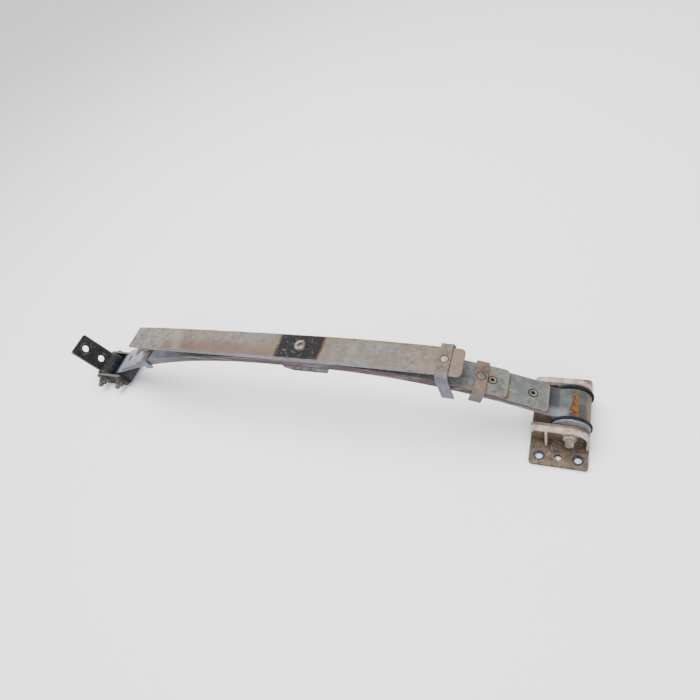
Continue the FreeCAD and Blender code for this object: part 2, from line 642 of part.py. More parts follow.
def ear_plate_edges():
    """Outline of an ear's plate, from its rear foot over the bolt to its front foot."""
    start = point(EAR_X_REAR, BASE_TOP)
    heel_low = point(EAR_X_REAR, EAR_TOP - EAR_HEEL_RADIUS)
    heel_centre = heel_low + unit(0) * EAR_HEEL_RADIUS
    heel_high = heel_centre + unit(90) * EAR_HEEL_RADIUS
    top_centre = point(EAR_X_FRONT - EAR_TOP_RADIUS, EAR_TOP - EAR_TOP_RADIUS)
    top_high = top_centre + unit(90) * EAR_TOP_RADIUS
    top_low = top_centre + unit(0) * EAR_TOP_RADIUS
    foot = point(EAR_X_FRONT, BASE_TOP)
    return [
        Part.makeLine(start, heel_low),
        Part.Arc(heel_low, heel_centre + unit(135) * EAR_HEEL_RADIUS, heel_high).toShape(),
        Part.makeLine(heel_high, top_high),
        Part.Arc(top_high, top_centre + unit(45) * EAR_TOP_RADIUS, top_low).toShape(),
        Part.makeLine(top_low, foot),
        Part.makeLine(foot, start),
    ]


def hanger_ear(side):
    """Pressed ear with a lip turned outwards over its top and front, and a rib behind the bolt."""
    plate = extrude_xz(ear_plate_edges(), FRONT_EAR_INSIDE, FRONT_EAR_OUTSIDE)
    rib_x = FRONT_EYE.x - EAR_RIB_BEHIND
    rib = polygon([Vector(rib_x, FRONT_EAR_OUTSIDE - 1, BASE_TOP),
                   Vector(rib_x, FRONT_EAR_OUTSIDE + EAR_LIP_WIDTH, BASE_TOP),
                   Vector(rib_x, FRONT_EAR_OUTSIDE + EAR_LIP_WIDTH, EAR_TOP - 1),
                   Vector(rib_x, FRONT_EAR_OUTSIDE - 1, EAR_TOP - 1)])
    rib = Part.Face(Part.Wire(rib)).extrude(Vector(EAR_RIB_THICKNESS, 0, 0))
    lip = ear_strip().solid(FRONT_EAR_INSIDE, FRONT_EAR_OUTSIDE + EAR_LIP_WIDTH)
    ear = plate.fuse(lip).fuse(rib).removeSplitter()
    flat_edges = [e for e in ear.Edges if e.BoundBox.YLength < 0.01]
    inner = [e for e in flat_edges if abs(e.CenterOfMass.y - FRONT_EAR_INSIDE) < 0.01]
    raised = [e for e in inner if e.CenterOfMass.z > BASE_TOP + 2 and e.CenterOfMass.x > EAR_X_REAR + 1]
    ear = ear.makeFillet(2.5, [e for e in raised if e.Length > 12])
    bore = rod(FRONT_BOLT_RADIUS + BOLT_FIT, FRONT_EYE.x, FRONT_EYE.z, 0, FRONT_EAR_OUTSIDE + 40)
    ear = ear.cut(bore)
    if side < 0:
        ear = ear.mirror(Vector(0, 0, 0), Vector(0, 1, 0))
    return ear


HANGER_HOLES_X = (EAR_X_FRONT + EAR_X_REAR) / 2


def hanger_base():
    x_low = EAR_X_REAR - BASE_OVERHANG
    x_high = EAR_X_FRONT + BASE_OVERHANG
    base = Part.makeBox(x_high - x_low, 2 * BASE_HALF_WIDTH, BASE_THICKNESS,
                        Vector(x_low, -BASE_HALF_WIDTH, BASE_TOP - BASE_THICKNESS))
    uprights = [e for e in base.Edges if e.BoundBox.ZLength > BASE_THICKNESS / 2]
    big = [e for e in uprights if e.CenterOfMass.y > 0 and e.CenterOfMass.x < x_low + 1]
    base = base.makeFillet(BASE_BIG_CORNER_RADIUS, big)
    uprights = [e for e in base.Edges if e.BoundBox.ZLength > BASE_THICKNESS / 2]
    front = [e for e in uprights if e.CenterOfMass.x > x_high - 0.1]
    near_rear = [e for e in uprights if e.CenterOfMass.x < x_low + 0.1 and e.CenterOfMass.y < 0]
    base = base.makeFillet(BASE_CORNER_RADIUS, front + near_rear)
    for row in (-1, 1):
        for column in (-1, 0, 1):
            radius = HANGER_MIDDLE_HOLE if column == 0 else HANGER_CORNER_HOLE
            x = HANGER_HOLES_X + column * HANGER_HOLE_PITCH
            base = base.cut(post(radius, x, row * HANGER_HOLE_ROW, BASE_TOP - 20, BASE_TOP + 20))
    return base


def hex_head(x, z, across, y_face, side, height):
    """Hexagon with a chamfered outer face, standing on the plane Y = y_face."""
    face = hexagon(across, point(x, z, y_face), True)
    prism = face.extrude(Vector(0, side * height, 0))
    corner = across / math.sqrt(3)
    direction = Vector(0, side, 0)
    full = Part.makeCylinder(corner + 0.1, height - 1.6, point(x, z, y_face), direction)
    cap = Part.makeCone(corner + 0.1, corner - 1.8, 1.6, point(x, z, y_face + side * (height - 1.6)), direction)
    return prism.common(full.fuse(cap))


def flange_nut(x, z, bolt_radius, across, flange, y_face, height):
    """Flange nut on the near side, its flange against the plane Y = y_face."""
    washer = Part.makeCylinder(flange, NUT_FLANGE_THICKNESS, point(x, z, y_face), Vector(0, -1, 0))
    cone = Part.makeCone(flange, across / 2, NUT_FLANGE_THICKNESS, point(x, z, y_face - NUT_FLANGE_THICKNESS),
                         Vector(0, -1, 0))
    nut = washer.fuse(cone).fuse(hex_head(x, z, across, y_face, -1, height))
    return nut.cut(rod(bolt_radius, x, z, y_face - height - 1, y_face + 1))


def through_bolt(x, z, radius, across, flange, y_head, y_nut_end):
    """Flange bolt with its head on the far side."""
    shank = rod(radius, x, z, y_nut_end, y_head)
    tip = [e for e in shank.Edges if e.Closed and e.CenterOfMass.y < y_nut_end + 0.1]
    shank = shank.makeChamfer(1.2, tip)
    washer = rod(flange, x, z, y_head, y_head + NUT_FLANGE_THICKNESS)
    return shank.fuse(washer).fuse(hex_head(x, z, across, y_head, 1, HEAD_HEIGHT + NUT_FLANGE_THICKNESS))


def front_bolt():
    end = -FRONT_EAR_OUTSIDE - FRONT_NUT_HEIGHT - FRONT_BOLT_POKE
    return through_bolt(FRONT_EYE.x, FRONT_EYE.z, FRONT_BOLT_RADIUS, FRONT_NUT_ACROSS, FRONT_NUT_FLANGE,
                        FRONT_EAR_OUTSIDE, end)


def front_nut():
    return flange_nut(FRONT_EYE.x, FRONT_EYE.z, FRONT_BOLT_RADIUS, FRONT_NUT_ACROSS, FRONT_NUT_FLANGE,
                      -FRONT_EAR_OUTSIDE, FRONT_NUT_HEIGHT)


SHACKLE_SLEEVE_END = HALF_WIDTH + SHACKLE_FLANGE_THICKNESS + FACE_GAP
SHACKLE_OUTSIDE = SHACKLE_SLEEVE_END + SHACKLE_PLATE_THICKNESS


def split_bush(eye, bore):
    """Two flanged rubber halves pushed into an eye from its two sides."""
    halves = []
    for side in (-1, 1):
        inner_end = 0.5
        body = rod(bore, eye.x, eye.z, inner_end, HALF_WIDTH)
        flange = rod(SHACKLE_FLANGE_RADIUS, eye.x, eye.z, HALF_WIDTH, HALF_WIDTH + SHACKLE_FLANGE_THICKNESS)
        rim = [e for e in flange.Edges if e.Closed and abs(e.CenterOfMass.y) > HALF_WIDTH + 1]
        half = body.fuse(flange.makeFillet(1.2, rim))
        half = half.cut(rod(SHACKLE_SLEEVE_RADIUS + RUNNING_FIT, eye.x, eye.z, -1, HALF_WIDTH + 20))
        if side < 0:
            half = half.mirror(Vector(0, 0, 0), Vector(0, 1, 0))
        halves.append(half)
    return Part.makeCompound(halves)


def shackle_sleeve(eye):
    return tube(eye.x, eye.z, SHACKLE_SLEEVE_RADIUS, SHACKLE_BOLT_RADIUS + BOLT_FIT,
                -SHACKLE_SLEEVE_END, SHACKLE_SLEEVE_END)


def shackle_plate(side):
    """Oblong side plate with a rounded outline and two bolt holes."""
    r = SHACKLE_END_RADIUS
    along = unit(SHACKLE_REST_ANGLE)
    across = unit(SHACKLE_REST_ANGLE + 90) * r
    a, b = REAR_EYE, BRACKET_EYE
    edges = [
        Part.makeLine(a + across, b + across),
        Part.Arc(b + across, b + along * r, b - across).toShape(),
        Part.makeLine(b - across, a - across),
        Part.Arc(a - across, a - along * r, a + across).toShape(),
    ]
    plate = extrude_xz(edges, SHACKLE_SLEEVE_END, SHACKLE_OUTSIDE)
    flat_edges = [e for e in plate.Edges if e.BoundBox.YLength < 0.01]
    rim = [e for e in flat_edges if abs(e.CenterOfMass.y - SHACKLE_OUTSIDE) < 0.01]
    plate = plate.makeFillet(1.2, rim)
    for eye in (a, b):
        plate = plate.cut(rod(SHACKLE_BOLT_RADIUS + BOLT_FIT, eye.x, eye.z, 0, SHACKLE_OUTSIDE + 5))
    if side < 0:
        plate = plate.mirror(Vector(0, 0, 0), Vector(0, 1, 0))
    return plate


def shackle_bolt(eye):
    end = -SHACKLE_OUTSIDE - SHACKLE_NUT_HEIGHT - SHACKLE_BOLT_POKE
    return through_bolt(eye.x, eye.z, SHACKLE_BOLT_RADIUS, SHACKLE_NUT_ACROSS, SHACKLE_NUT_FLANGE,
                        SHACKLE_OUTSIDE, end)


def shackle_nut(eye):
    return flange_nut(eye.x, eye.z, SHACKLE_BOLT_RADIUS, SHACKLE_NUT_ACROSS, SHACKLE_NUT_FLANGE,
                      -SHACKLE_OUTSIDE, SHACKLE_NUT_HEIGHT)


def bracket_strip():
    """Rolled eye, reverse fold and flat strap of the frame bracket."""
    roll = REAR_EYE_RADIUS - BRACKET_THICKNESS / 2
    start = BRACKET_EYE + unit(BRACKET_FOLD_ANGLE - BRACKET_WRAP) * roll
    strip = Strip(start, BRACKET_FOLD_ANGLE - BRACKET_WRAP + 90, BRACKET_THICKNESS)
    strip.arc(roll, BRACKET_WRAP)
    strip.arc(BRACKET_FOLD_RADIUS, BRACKET_STRAP_ANGLE - strip.heading)
    strip.line(BRACKET_STRAP_LENGTH)
    return strip


def rear_bracket():
    strip = bracket_strip()
    tip = strip.place
    solid = strip.solid(-HALF_WIDTH, HALF_WIDTH)
    corner = []
    for edge in solid.Edges:
        at_tip = edge.CenterOfMass.distanceToPoint(Vector(tip.x, edge.CenterOfMass.y, tip.z)) < 1.0
        if at_tip and edge.BoundBox.YLength < 0.01:
            corner.append(edge)
    solid = solid.makeFillet(BRACKET_TIP_RADIUS, corner)
    square = unit(BRACKET_STRAP_ANGLE + 90)
    for step in range(2):
        from_tip = BRACKET_HOLE_FROM_TIP + step * BRACKET_HOLE_PITCH
        centre = tip - unit(BRACKET_STRAP_ANGLE) * from_tip - square * 30
        solid = solid.cut(Part.makeCylinder(BRACKET_HOLE_RADIUS, 60, centre, square))
    return solid


def export(name, shape):
    shape.exportStep(os.path.join("parts", name + ".step"))


def main():
    os.makedirs("parts", exist_ok=True)
    export("overload_leaf", overload_leaf())
    export("third_leaf", third_leaf())
    export("second_leaf", second_leaf())
    export("main_leaf", main_leaf())
    export("spacer_plate", spacer_plate())
    export("centre_bolt", centre_bolt())
    export("centre_nut", centre_nut())

    export("third_leaf_front_liner", liner(THIRD_FRONT, SECOND_FRONT, THIRD_FRONT_REACH))
    export("third_leaf_rear_liner", liner(THIRD_REAR, SECOND_REAR, THIRD_REAR_REACH))
    export("second_leaf_front_liner", liner(SECOND_FRONT, MAIN_FRONT, SECOND_FRONT_REACH))
    export("second_leaf_rear_liner", liner(SECOND_REAR, MAIN_REAR, SECOND_REAR_REACH))

    place = overload_placement(OVERLOAD_CLIP_REACH)
    clip = clip_strap(OVERLOAD_CLIP_LEG_GAP, overload_clip_leg_low(), OVERLOAD_CLIP_LEAN)
    export("overload_clip", placed(clip, place))
    pin = rivet(OVERLOAD_RIVET_HEAD, OVERLOAD_RIVET_HEIGHT, OVERLOAD_TIP_THICKNESS)
    export("overload_clip_rivet", placed(pin, place))
    pin = rivet(THIRD_RIVET_HEAD, THIRD_RIVET_HEIGHT, LEAF_THICKNESS)
    third_clips = (
        ("front", THIRD_FRONT, THIRD_CLIP_FRONT_REACH, THIRD_FRONT_CLIP_BELOW, THIRD_FRONT_CLIP_LEAN),
        ("rear", THIRD_REAR, THIRD_CLIP_REAR_REACH, THIRD_REAR_CLIP_BELOW, THIRD_REAR_CLIP_LEAN),
    )
    for name, half, reach, below, lean in third_clips:
        clip = clip_strap(THIRD_CLIP_LEG_GAP, -PACK_BELOW_THIRD - below, lean)
        export("third_leaf_" + name + "_clip", placed(clip, half.placement(reach)))
        export("third_leaf_" + name + "_clip_rivet", placed(pin, half.placement(reach)))

    outer, rubber = front_bush()
    export("front_bush_outer_sleeve", outer)
    export("front_bush_rubber", rubber)
    sleeve_end = FRONT_SLEEVE_END + FRONT_CUP_DISH
    sleeve_bore = FRONT_BOLT_RADIUS + BOLT_FIT
    sleeve = tube(FRONT_EYE.x, FRONT_EYE.z, FRONT_SLEEVE_RADIUS, sleeve_bore, -sleeve_end, sleeve_end)
    export("front_bush_inner_sleeve", sleeve)
    export("front_bush_cups", Part.makeCompound([front_cup(-1), front_cup(1)]))
    export("hanger_base_plate", hanger_base())
    export("hanger_near_ear", hanger_ear(-1))
    export("hanger_far_ear", hanger_ear(1))
    export("front_bolt", front_bolt())
    export("front_nut", front_nut())

    export("rear_eye_rubbers", split_bush(REAR_EYE, REAR_EYE_RADIUS - LEAF_THICKNESS))
    export("rear_eye_inner_sleeve", shackle_sleeve(REAR_EYE))
    export("rear_eye_bolt", shackle_bolt(REAR_EYE))
    export("rear_eye_nut", shackle_nut(REAR_EYE))
    export("shackle_near_plate", shackle_plate(-1))
    export("shackle_far_plate", shackle_plate(1))
    export("rear_bracket", rear_bracket())
    export("bracket_eye_rubbers", split_bush(BRACKET_EYE, REAR_EYE_RADIUS - BRACKET_THICKNESS))
    export("bracket_eye_inner_sleeve", shackle_sleeve(BRACKET_EYE))
    export("bracket_eye_bolt", shackle_bolt(BRACKET_EYE))
    export("bracket_eye_nut", shackle_nut(BRACKET_EYE))

    print("front eye", FRONT_EYE, "rear eye", REAR_EYE, "bracket eye", BRACKET_EYE)
    print("base top", BASE_TOP, "hanger holes x", HANGER_HOLES_X, "bracket tip", bracket_strip().place)


main()
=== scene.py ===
import json
import math

import bpy
from bpy.props import FloatProperty, FloatVectorProperty, IntProperty, PointerProperty
from bpy.types import Operator, Panel, PropertyGroup
from mathutils import Matrix, Vector


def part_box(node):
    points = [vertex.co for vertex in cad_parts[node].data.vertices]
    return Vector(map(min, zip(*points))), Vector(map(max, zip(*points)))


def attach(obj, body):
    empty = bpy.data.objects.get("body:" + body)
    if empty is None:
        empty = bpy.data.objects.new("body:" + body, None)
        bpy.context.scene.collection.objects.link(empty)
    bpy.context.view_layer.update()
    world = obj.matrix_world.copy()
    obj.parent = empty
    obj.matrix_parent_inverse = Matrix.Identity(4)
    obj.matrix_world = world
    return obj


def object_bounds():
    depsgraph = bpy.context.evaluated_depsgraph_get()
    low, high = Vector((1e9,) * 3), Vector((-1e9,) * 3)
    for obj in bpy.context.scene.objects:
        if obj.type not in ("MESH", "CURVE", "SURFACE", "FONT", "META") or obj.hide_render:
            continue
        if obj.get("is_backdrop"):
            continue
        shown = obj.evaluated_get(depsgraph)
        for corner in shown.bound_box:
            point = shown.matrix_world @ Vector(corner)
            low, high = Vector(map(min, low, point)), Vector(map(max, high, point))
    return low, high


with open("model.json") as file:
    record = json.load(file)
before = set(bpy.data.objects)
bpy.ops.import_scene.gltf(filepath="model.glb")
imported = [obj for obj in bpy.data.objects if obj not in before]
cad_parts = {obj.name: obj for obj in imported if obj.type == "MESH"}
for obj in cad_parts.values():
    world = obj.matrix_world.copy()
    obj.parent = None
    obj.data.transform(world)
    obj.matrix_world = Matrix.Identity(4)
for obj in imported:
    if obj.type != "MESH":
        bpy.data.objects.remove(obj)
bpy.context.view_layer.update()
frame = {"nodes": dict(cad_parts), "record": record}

bl_info = {
    "name": "Worn Leaf Spring",
    "version": (1, 0, 0),
    "blender": (4, 5, 0),
    "location": "3D View > Sidebar > Leaf Spring",
    "description": "Finishes a used leaf spring pack: scale, rust, grime, threads and weld beads",
    "category": "Object",
}

STUDIO_SHARE = 0.44   # the bright white studio lifts every tint to about twice its own light


def colour(red, green, blue):
    """Linear colour from the 0-255 values of a paint chart, as it reads in the white studio."""
    def linear(value):
        share = value / 255
        return share / 12.92 if share <= 0.04045 else ((share + 0.055) / 1.055) ** 2.4
    return tuple(linear(value) * STUDIO_SHARE for value in (red, green, blue))


def chart(name, description, red, green, blue):
    """A colour setting with a chart value as its default."""
    return FloatVectorProperty(name=name, description=description, subtype="COLOR", size=3, min=0.0, max=1.0,
                               default=colour(red, green, blue))


def length(name, description, metres, smallest=0.0, largest=1.0):
    """A distance setting in metres."""
    return FloatProperty(name=name, description=description, default=metres, min=smallest, max=largest,
                         subtype="DISTANCE", unit="LENGTH", precision=4)


# ---- settings ----
class SpringColours(PropertyGroup):
    """Colours of the spring's steel, rust and rubber."""
    scale_grey: chart("Scale grey", "Mill scale of the overload leaf", 158, 153, 147)
    scale_green: chart("Scale green", "Grey-green scale of the lower leaves", 136, 141, 137)
    scale_blue: chart("Scale blue", "Bluish bare scale on leaf sides and rubbed places", 164, 169, 184)
    rust_brown: chart("Brown rust", "Old brown rust", 116, 88, 74)
    rust_orange: chart("Orange rust", "Fresh rust run", 176, 112, 48)
    rust_purple: chart("Purple rust", "Thin purple-brown rust of the rear leaves", 122, 99, 101)
    dust_tan: chart("Tan dust", "Dry road dust along the edges", 172, 150, 126)
    dust_pink: chart("Pink dust", "Pinkish bloom on the overload leaf", 152, 130, 121)
    print_black: chart("Pad print", "Black print of the axle's spring pad", 40, 37, 39)
    bolt_light: chart("Light bolt steel", "Rubbed zinc of bolts and rivets", 196, 184, 176)
    bolt_dark: chart("Dark bolt steel", "Dirty zinc in the corners of nuts", 118, 106, 96)
    paint_charcoal: chart("Charcoal paint", "Paint of the shackle and the strap", 43, 47, 49)
    rubber_black: chart("Rubber", "Weathered bush rubber", 46, 50, 46)
    base_dirt: chart("Base dirt", "Caked dirt on the hanger's base plate", 150, 134, 117)


class SpringSizes(PropertyGroup):
    """Sizes of the wear marks and of the small modelled details."""
    edge_band: length("Edge band", "Width of the dust line along a leaf's edge", 0.0026, 0.0005, 0.02)
    print_rear: length("Pad print, rear", "Reach of the pad print behind the centre bolt", 0.051, 0.01, 0.2)
    print_front: length("Pad print, front", "Reach of the pad print ahead of the centre bolt",
                        0.044, 0.01, 0.2)
    thread_pitch: length("Thread pitch", "Distance between thread crests", 0.00175, 0.0005, 0.005)
    thread_height: length("Thread height", "How far a crest stands out of the shank", 0.0005, 0.0001, 0.002)
    weld_leg: length("Weld leg", "Leg of the fillet welds at the ears' feet", 0.0050, 0.001, 0.01)
    weld_ripple: length("Weld ripple", "Distance between the ripples of a weld bead", 0.0042, 0.001, 0.02)


class StageSettings(PropertyGroup):
    """Floor, camera and lights."""
    focal: FloatProperty(name="Focal length", description="Focal length for a 36 mm wide sensor",
                         default=26.54, min=10.0, max=300.0, subtype="DISTANCE_CAMERA", unit="CAMERA")
    floor_size: length("Floor size", "Side of the floor", 14.0, 2.0, 60.0)
    floor_steps: IntProperty(name="Floor steps", description="Faces along each side of the floor",
                             default=8, min=2, max=40)
    key_power: FloatProperty(name="Key light", description="Power of the large overhead light in watts",
                             default=118.0, min=0.0, max=2000.0)
    side_power: FloatProperty(name="Side light", description="Power of the soft side light in watts",
                              default=30.0, min=0.0, max=2000.0)
    sky: FloatProperty(name="Sky", description="Strength of the even white surroundings",
                       default=1.15, min=0.0, max=5.0)


# ---- shader maths ----
class Worth:
    """A value, vector or colour inside a material, written with Python's own signs."""

    def __init__(self, paint, socket):
        self.paint = paint
        self.socket = socket

    def maths(self, operation, *values):
        return self.paint.add("ShaderNodeMath", {"operation": operation}, dict(enumerate(values)))

    def __add__(self, other):
        return self.maths("ADD", self, other)

    def __radd__(self, other):
        return self.maths("ADD", other, self)

    def __sub__(self, other):
        return self.maths("SUBTRACT", self, other)

    def __rsub__(self, other):
        return self.maths("SUBTRACT", other, self)

    def __mul__(self, other):
        return self.maths("MULTIPLY", self, other)

    def __truediv__(self, other):
        return self.maths("DIVIDE", self, other)

    def __pow__(self, other):
        return self.maths("POWER", self, other)

    def __abs__(self):
        return self.maths("ABSOLUTE", self)

    def least(self, other):
        return self.maths("MINIMUM", self, other)

    def angle(self, other):
        """Angle of the point (other, self), as a four-quadrant arc tangent."""
        return self.maths("ARCTAN2", self, other)

    def rise(self, low, high):
        """0 below low, 1 above high, and a smooth step between them."""
        settings = {"interpolation_type": "SMOOTHSTEP", "clamp": True}
        if low > high:
            return 1 - self.rise(high, low)
        values = {"Value": self, "From Min": low, "From Max": high}
        return self.paint.add("ShaderNodeMapRange", settings, values)

    def between(self, low, high, soft):
        """1 between two values, fading out over a soft distance."""
        return self.rise(low - soft, low + soft) * (1 - self.rise(high - soft, high + soft))


class Paint:
    """A procedural material: one principled surface and the nodes that feed it."""

    def __init__(self, name, seed=0.0):
        self.material = bpy.data.materials.new(name)
        self.material.use_nodes = True
        self.tree = self.material.node_tree
        self.tree.nodes.clear()
        self.surface = self.tree.nodes.new("ShaderNodeBsdfPrincipled")
        self.surface.inputs["Specular IOR Level"].default_value = 0.14
        output = self.tree.nodes.new("ShaderNodeOutputMaterial")
        self.tree.links.new(self.surface.outputs["BSDF"], output.inputs["Surface"])
        self.place = self.add("ShaderNodeTexCoord", output="Object")
        self.x = self.add("ShaderNodeSeparateXYZ", None, {"Vector": self.place}, "X")
        self.y = self.add("ShaderNodeSeparateXYZ", None, {"Vector": self.place}, "Y")
        self.z = self.add("ShaderNodeSeparateXYZ", None, {"Vector": self.place}, "Z")
        self.seed = seed

    def add(self, kind, settings=None, values=None, output=0):
        """Add a node: its settings first, then the values or links of its sockets."""
        node = self.tree.nodes.new(kind)
        for name, value in (settings or {}).items():
            setattr(node, name, value)
        for key, value in (values or {}).items():
            socket = node.inputs[key]
            if isinstance(value, Worth):
                self.tree.links.new(value.socket, socket)
            else:
                socket.default_value = value
        return Worth(self, node.outputs[output])

    def moved(self, stretch=(1.0, 1.0, 1.0), shift=0.0):
        """Object place, stretched and moved by the material's own seed."""
        offset = self.seed + shift
        location = (offset, offset * 0.37, offset * 0.73)
        return self.add("ShaderNodeMapping", {"vector_type": "POINT"},
                        {"Vector": self.place, "Location": location, "Scale": stretch})

    def noise(self, scale, detail=5.0, rough=0.55, warp=0.0, stretch=(1.0, 1.0, 1.0), shift=0.0):
        return self.add("ShaderNodeTexNoise", None,
                        {"Vector": self.moved(stretch, shift), "Scale": scale, "Detail": detail,
                         "Roughness": rough, "Distortion": warp})

    def cells(self, scale, stretch=(1.0, 1.0, 1.0), shift=0.0):
        """Distance to the nearest of many scattered points."""
        return self.add("ShaderNodeTexVoronoi", None, {"Vector": self.moved(stretch, shift), "Scale": scale})

    def over(self, mask, under, top):
        """Colour top laid over colour under where the mask is 1."""
        def four(value):
            return value if isinstance(value, Worth) else (*value, 1.0)
        return self.add("ShaderNodeMix", {"data_type": "RGBA", "clamp_factor": True},
                        {0: mask, 6: four(under), 7: four(top)}, 2)

    def set(self, tint, roughness, metallic=0.0, height=None, depth=0.0004, strength=0.6):
        """Join the finished values to the surface and return the material."""
        for name, value in (("Base Color", tint), ("Roughness", roughness), ("Metallic", metallic)):
            socket = self.surface.inputs[name]
            if isinstance(value, Worth):
                self.tree.links.new(value.socket, socket)
            else:
                socket.default_value = (*value, 1.0) if name == "Base Color" else value
        if height is not None:
            bump = self.add("ShaderNodeBump", None,
                            {"Height": height, "Distance": depth, "Strength": strength})
            self.tree.links.new(bump.socket, self.surface.inputs["Normal"])
        return self.material


def distance(*offsets):
    """Length of the vector whose parts are given."""
    total = offsets[0] ** 2.0
    for offset in offsets[1:]:
        total = total + offset ** 2.0
    return total ** 0.5


def tone(chosen, share):
    """The same colour made lighter or darker."""
    return tuple(min(1.0, part * share) for part in chosen)


PIT_BLACK = (0.012, 0.010, 0.010)   # linear colour at the bottom of a pit


class Layers:
    """Weathered steel, built up layer by layer: scale, mottling, rust, dust, pits."""

    def __init__(self, name, seed, ground, stretch=(1.0, 1.0, 1.0)):
        self.paint = Paint(name, seed)
        p = self.paint
        self.broad = p.noise(11.0, 6.0, 0.6, 0.3, stretch)
        self.mottle = p.noise(62.0, 8.0, 0.68, 0.2)
        self.patch = p.noise(120.0, 4.0, 0.55, 0.0, shift=4.4)
        self.grain = p.noise(420.0, 6.0, 0.7)
        self.tint = p.over(self.broad.rise(0.36, 0.66), tone(ground, 0.72), tone(ground, 1.05))
        self.tint = p.over(self.mottle.rise(0.44, 0.64) * 0.70, self.tint, tone(ground, 1.30))
        self.tint = p.over(self.mottle.rise(0.50, 0.34) * 0.55, self.tint, tone(ground, 0.50))
        self.tint = p.over(self.patch.rise(0.52, 0.68) * 0.55, self.tint, tone(ground, 1.40))
        self.tint = p.over(self.patch.rise(0.48, 0.30) * 0.60, self.tint, tone(ground, 0.38))
        self.tint = p.over(self.grain.rise(0.54, 0.68) * 0.40, self.tint, tone(ground, 1.5))
        self.tint = p.over(self.grain.rise(0.46, 0.34) * 0.65, self.tint, tone(ground, 0.36))
        self.rough = 0.56 + self.mottle * 0.26
        self.metal = 0.16 - self.broad.rise(0.45, 0.7) * 0.08
        self.height = self.grain * 0.6 + self.patch * 0.5 + self.mottle * 0.8

    def lay(self, mask, tint, rough=None, metal=None, raise_by=0.0):
        """Lay a colour over the surface, with its own roughness, metal and thickness."""
        self.tint = self.paint.over(mask, self.tint, tint)
        if rough is not None:
            self.rough = self.rough + mask * (rough - self.rough)
        if metal is not None:
            self.metal = self.metal + mask * (metal - self.metal)
        if raise_by:
            self.height = self.height + mask * raise_by
        return self

    def rust(self, where, tint, amount=0.5, shift=0.0):
        """Broken patches of rust inside a mask; a larger amount covers more."""
        p = self.paint
        patch = p.noise(34.0, 8.0, 0.66, 0.5, shift=7.0 + shift) * 0.62 + self.grain * 0.38
        level = 0.62 - 0.24 * amount
        mask = patch.rise(level - 0.05, level + 0.07) * where
        self.lay(mask, tint, 0.86, 0.0, 0.35)
        deep = patch.rise(level + 0.04, level + 0.16) * where
        return self.lay(deep * 0.7, tone(tint, 0.58), 0.9, 0.0, 0.2)

    def dust(self, where, tint, amount=0.6):
        """Thin dry dust that lets the steel show through."""
        mask = (self.mottle * 0.5 + self.grain * 0.5).rise(0.58 - 0.3 * amount, 0.72 - 0.2 * amount) * where
        return self.lay(mask * 0.85, tint, 0.88, 0.0, 0.12)

    def pits(self, where, scale=260.0, size=0.16):
        """Small dark pits and chips."""
        hollow = 1 - self.paint.cells(scale, shift=1.7).rise(size * 0.5, size)
        mask = hollow * self.mottle.rise(0.50, 0.62) * where
        return self.lay(mask * 0.9, PIT_BLACK, 0.9, 0.0, -1.2)

    def scratches(self, where, direction, tint, amount):
        """Thin bright scratches along one direction."""
        lines = self.paint.noise(1.0, 3.0, 0.5, 0.4, direction, 5.3)
        mask = lines.rise(0.66 - 0.06 * amount, 0.70) * where
        return self.lay(mask * 0.6, tint, 0.38, 0.55, -0.15)

    def ring(self, node, low, high, tint, strength, soft):
        """Flat ring round the middle of another node, such as a rivet head or a liner's button."""
        corner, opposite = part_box(node)
        middle = (corner + opposite) / 2
        p = self.paint
        away = distance(p.x - middle.x, p.y - middle.y)
        return self.lay(away.between(low, high, soft) * strength, tint, 0.7, 0.1)

    def shades(self, low, high, dark, light):
        """Two colours spread by the mottling."""
        return self.paint.over(self.mottle.rise(low, high), dark, light)

    def done(self, depth=0.0005, strength=0.55):
        """Join the layers to the surface and return the material."""
        return self.paint.set(self.tint, self.rough, self.metal, self.height, depth, strength)


def dress(node, material):
    """Give a CAD node its material in every slot."""
    mesh_object = frame["nodes"][node]
    if not mesh_object.material_slots:
        mesh_object.data.materials.append(material)
    for slot in mesh_object.material_slots:
        slot.material = material


def colours():
    return bpy.context.scene.spring_colours


def sizes():
    return bpy.context.scene.spring_sizes


def joint_place(name):
    """Where a joint's axis stands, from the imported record."""
    for joint in frame["record"]["behaviour"]["joints"]:
        if joint["name"] == name:
            return Vector(joint["pos_m"])
    raise RuntimeError("the frame has no joint named " + name)


# ---- leaves ----
SIDE_START = 0.0286   # where the rounded corner towards a leaf's long side begins, from its middle line
SIDE_FULL = 0.0296    # where the long side has begun
EDGE_START = 0.0292   # outer limit of the dust line on the upper face


def side_mask(paint):
    """1 on the two long sides of a leaf."""
    return abs(paint.y).rise(SIDE_START, SIDE_FULL)


def edge_line(paint, band):
    """1 on the upper face's outermost strip."""
    return abs(paint.y).rise(EDGE_START - band, EDGE_START)


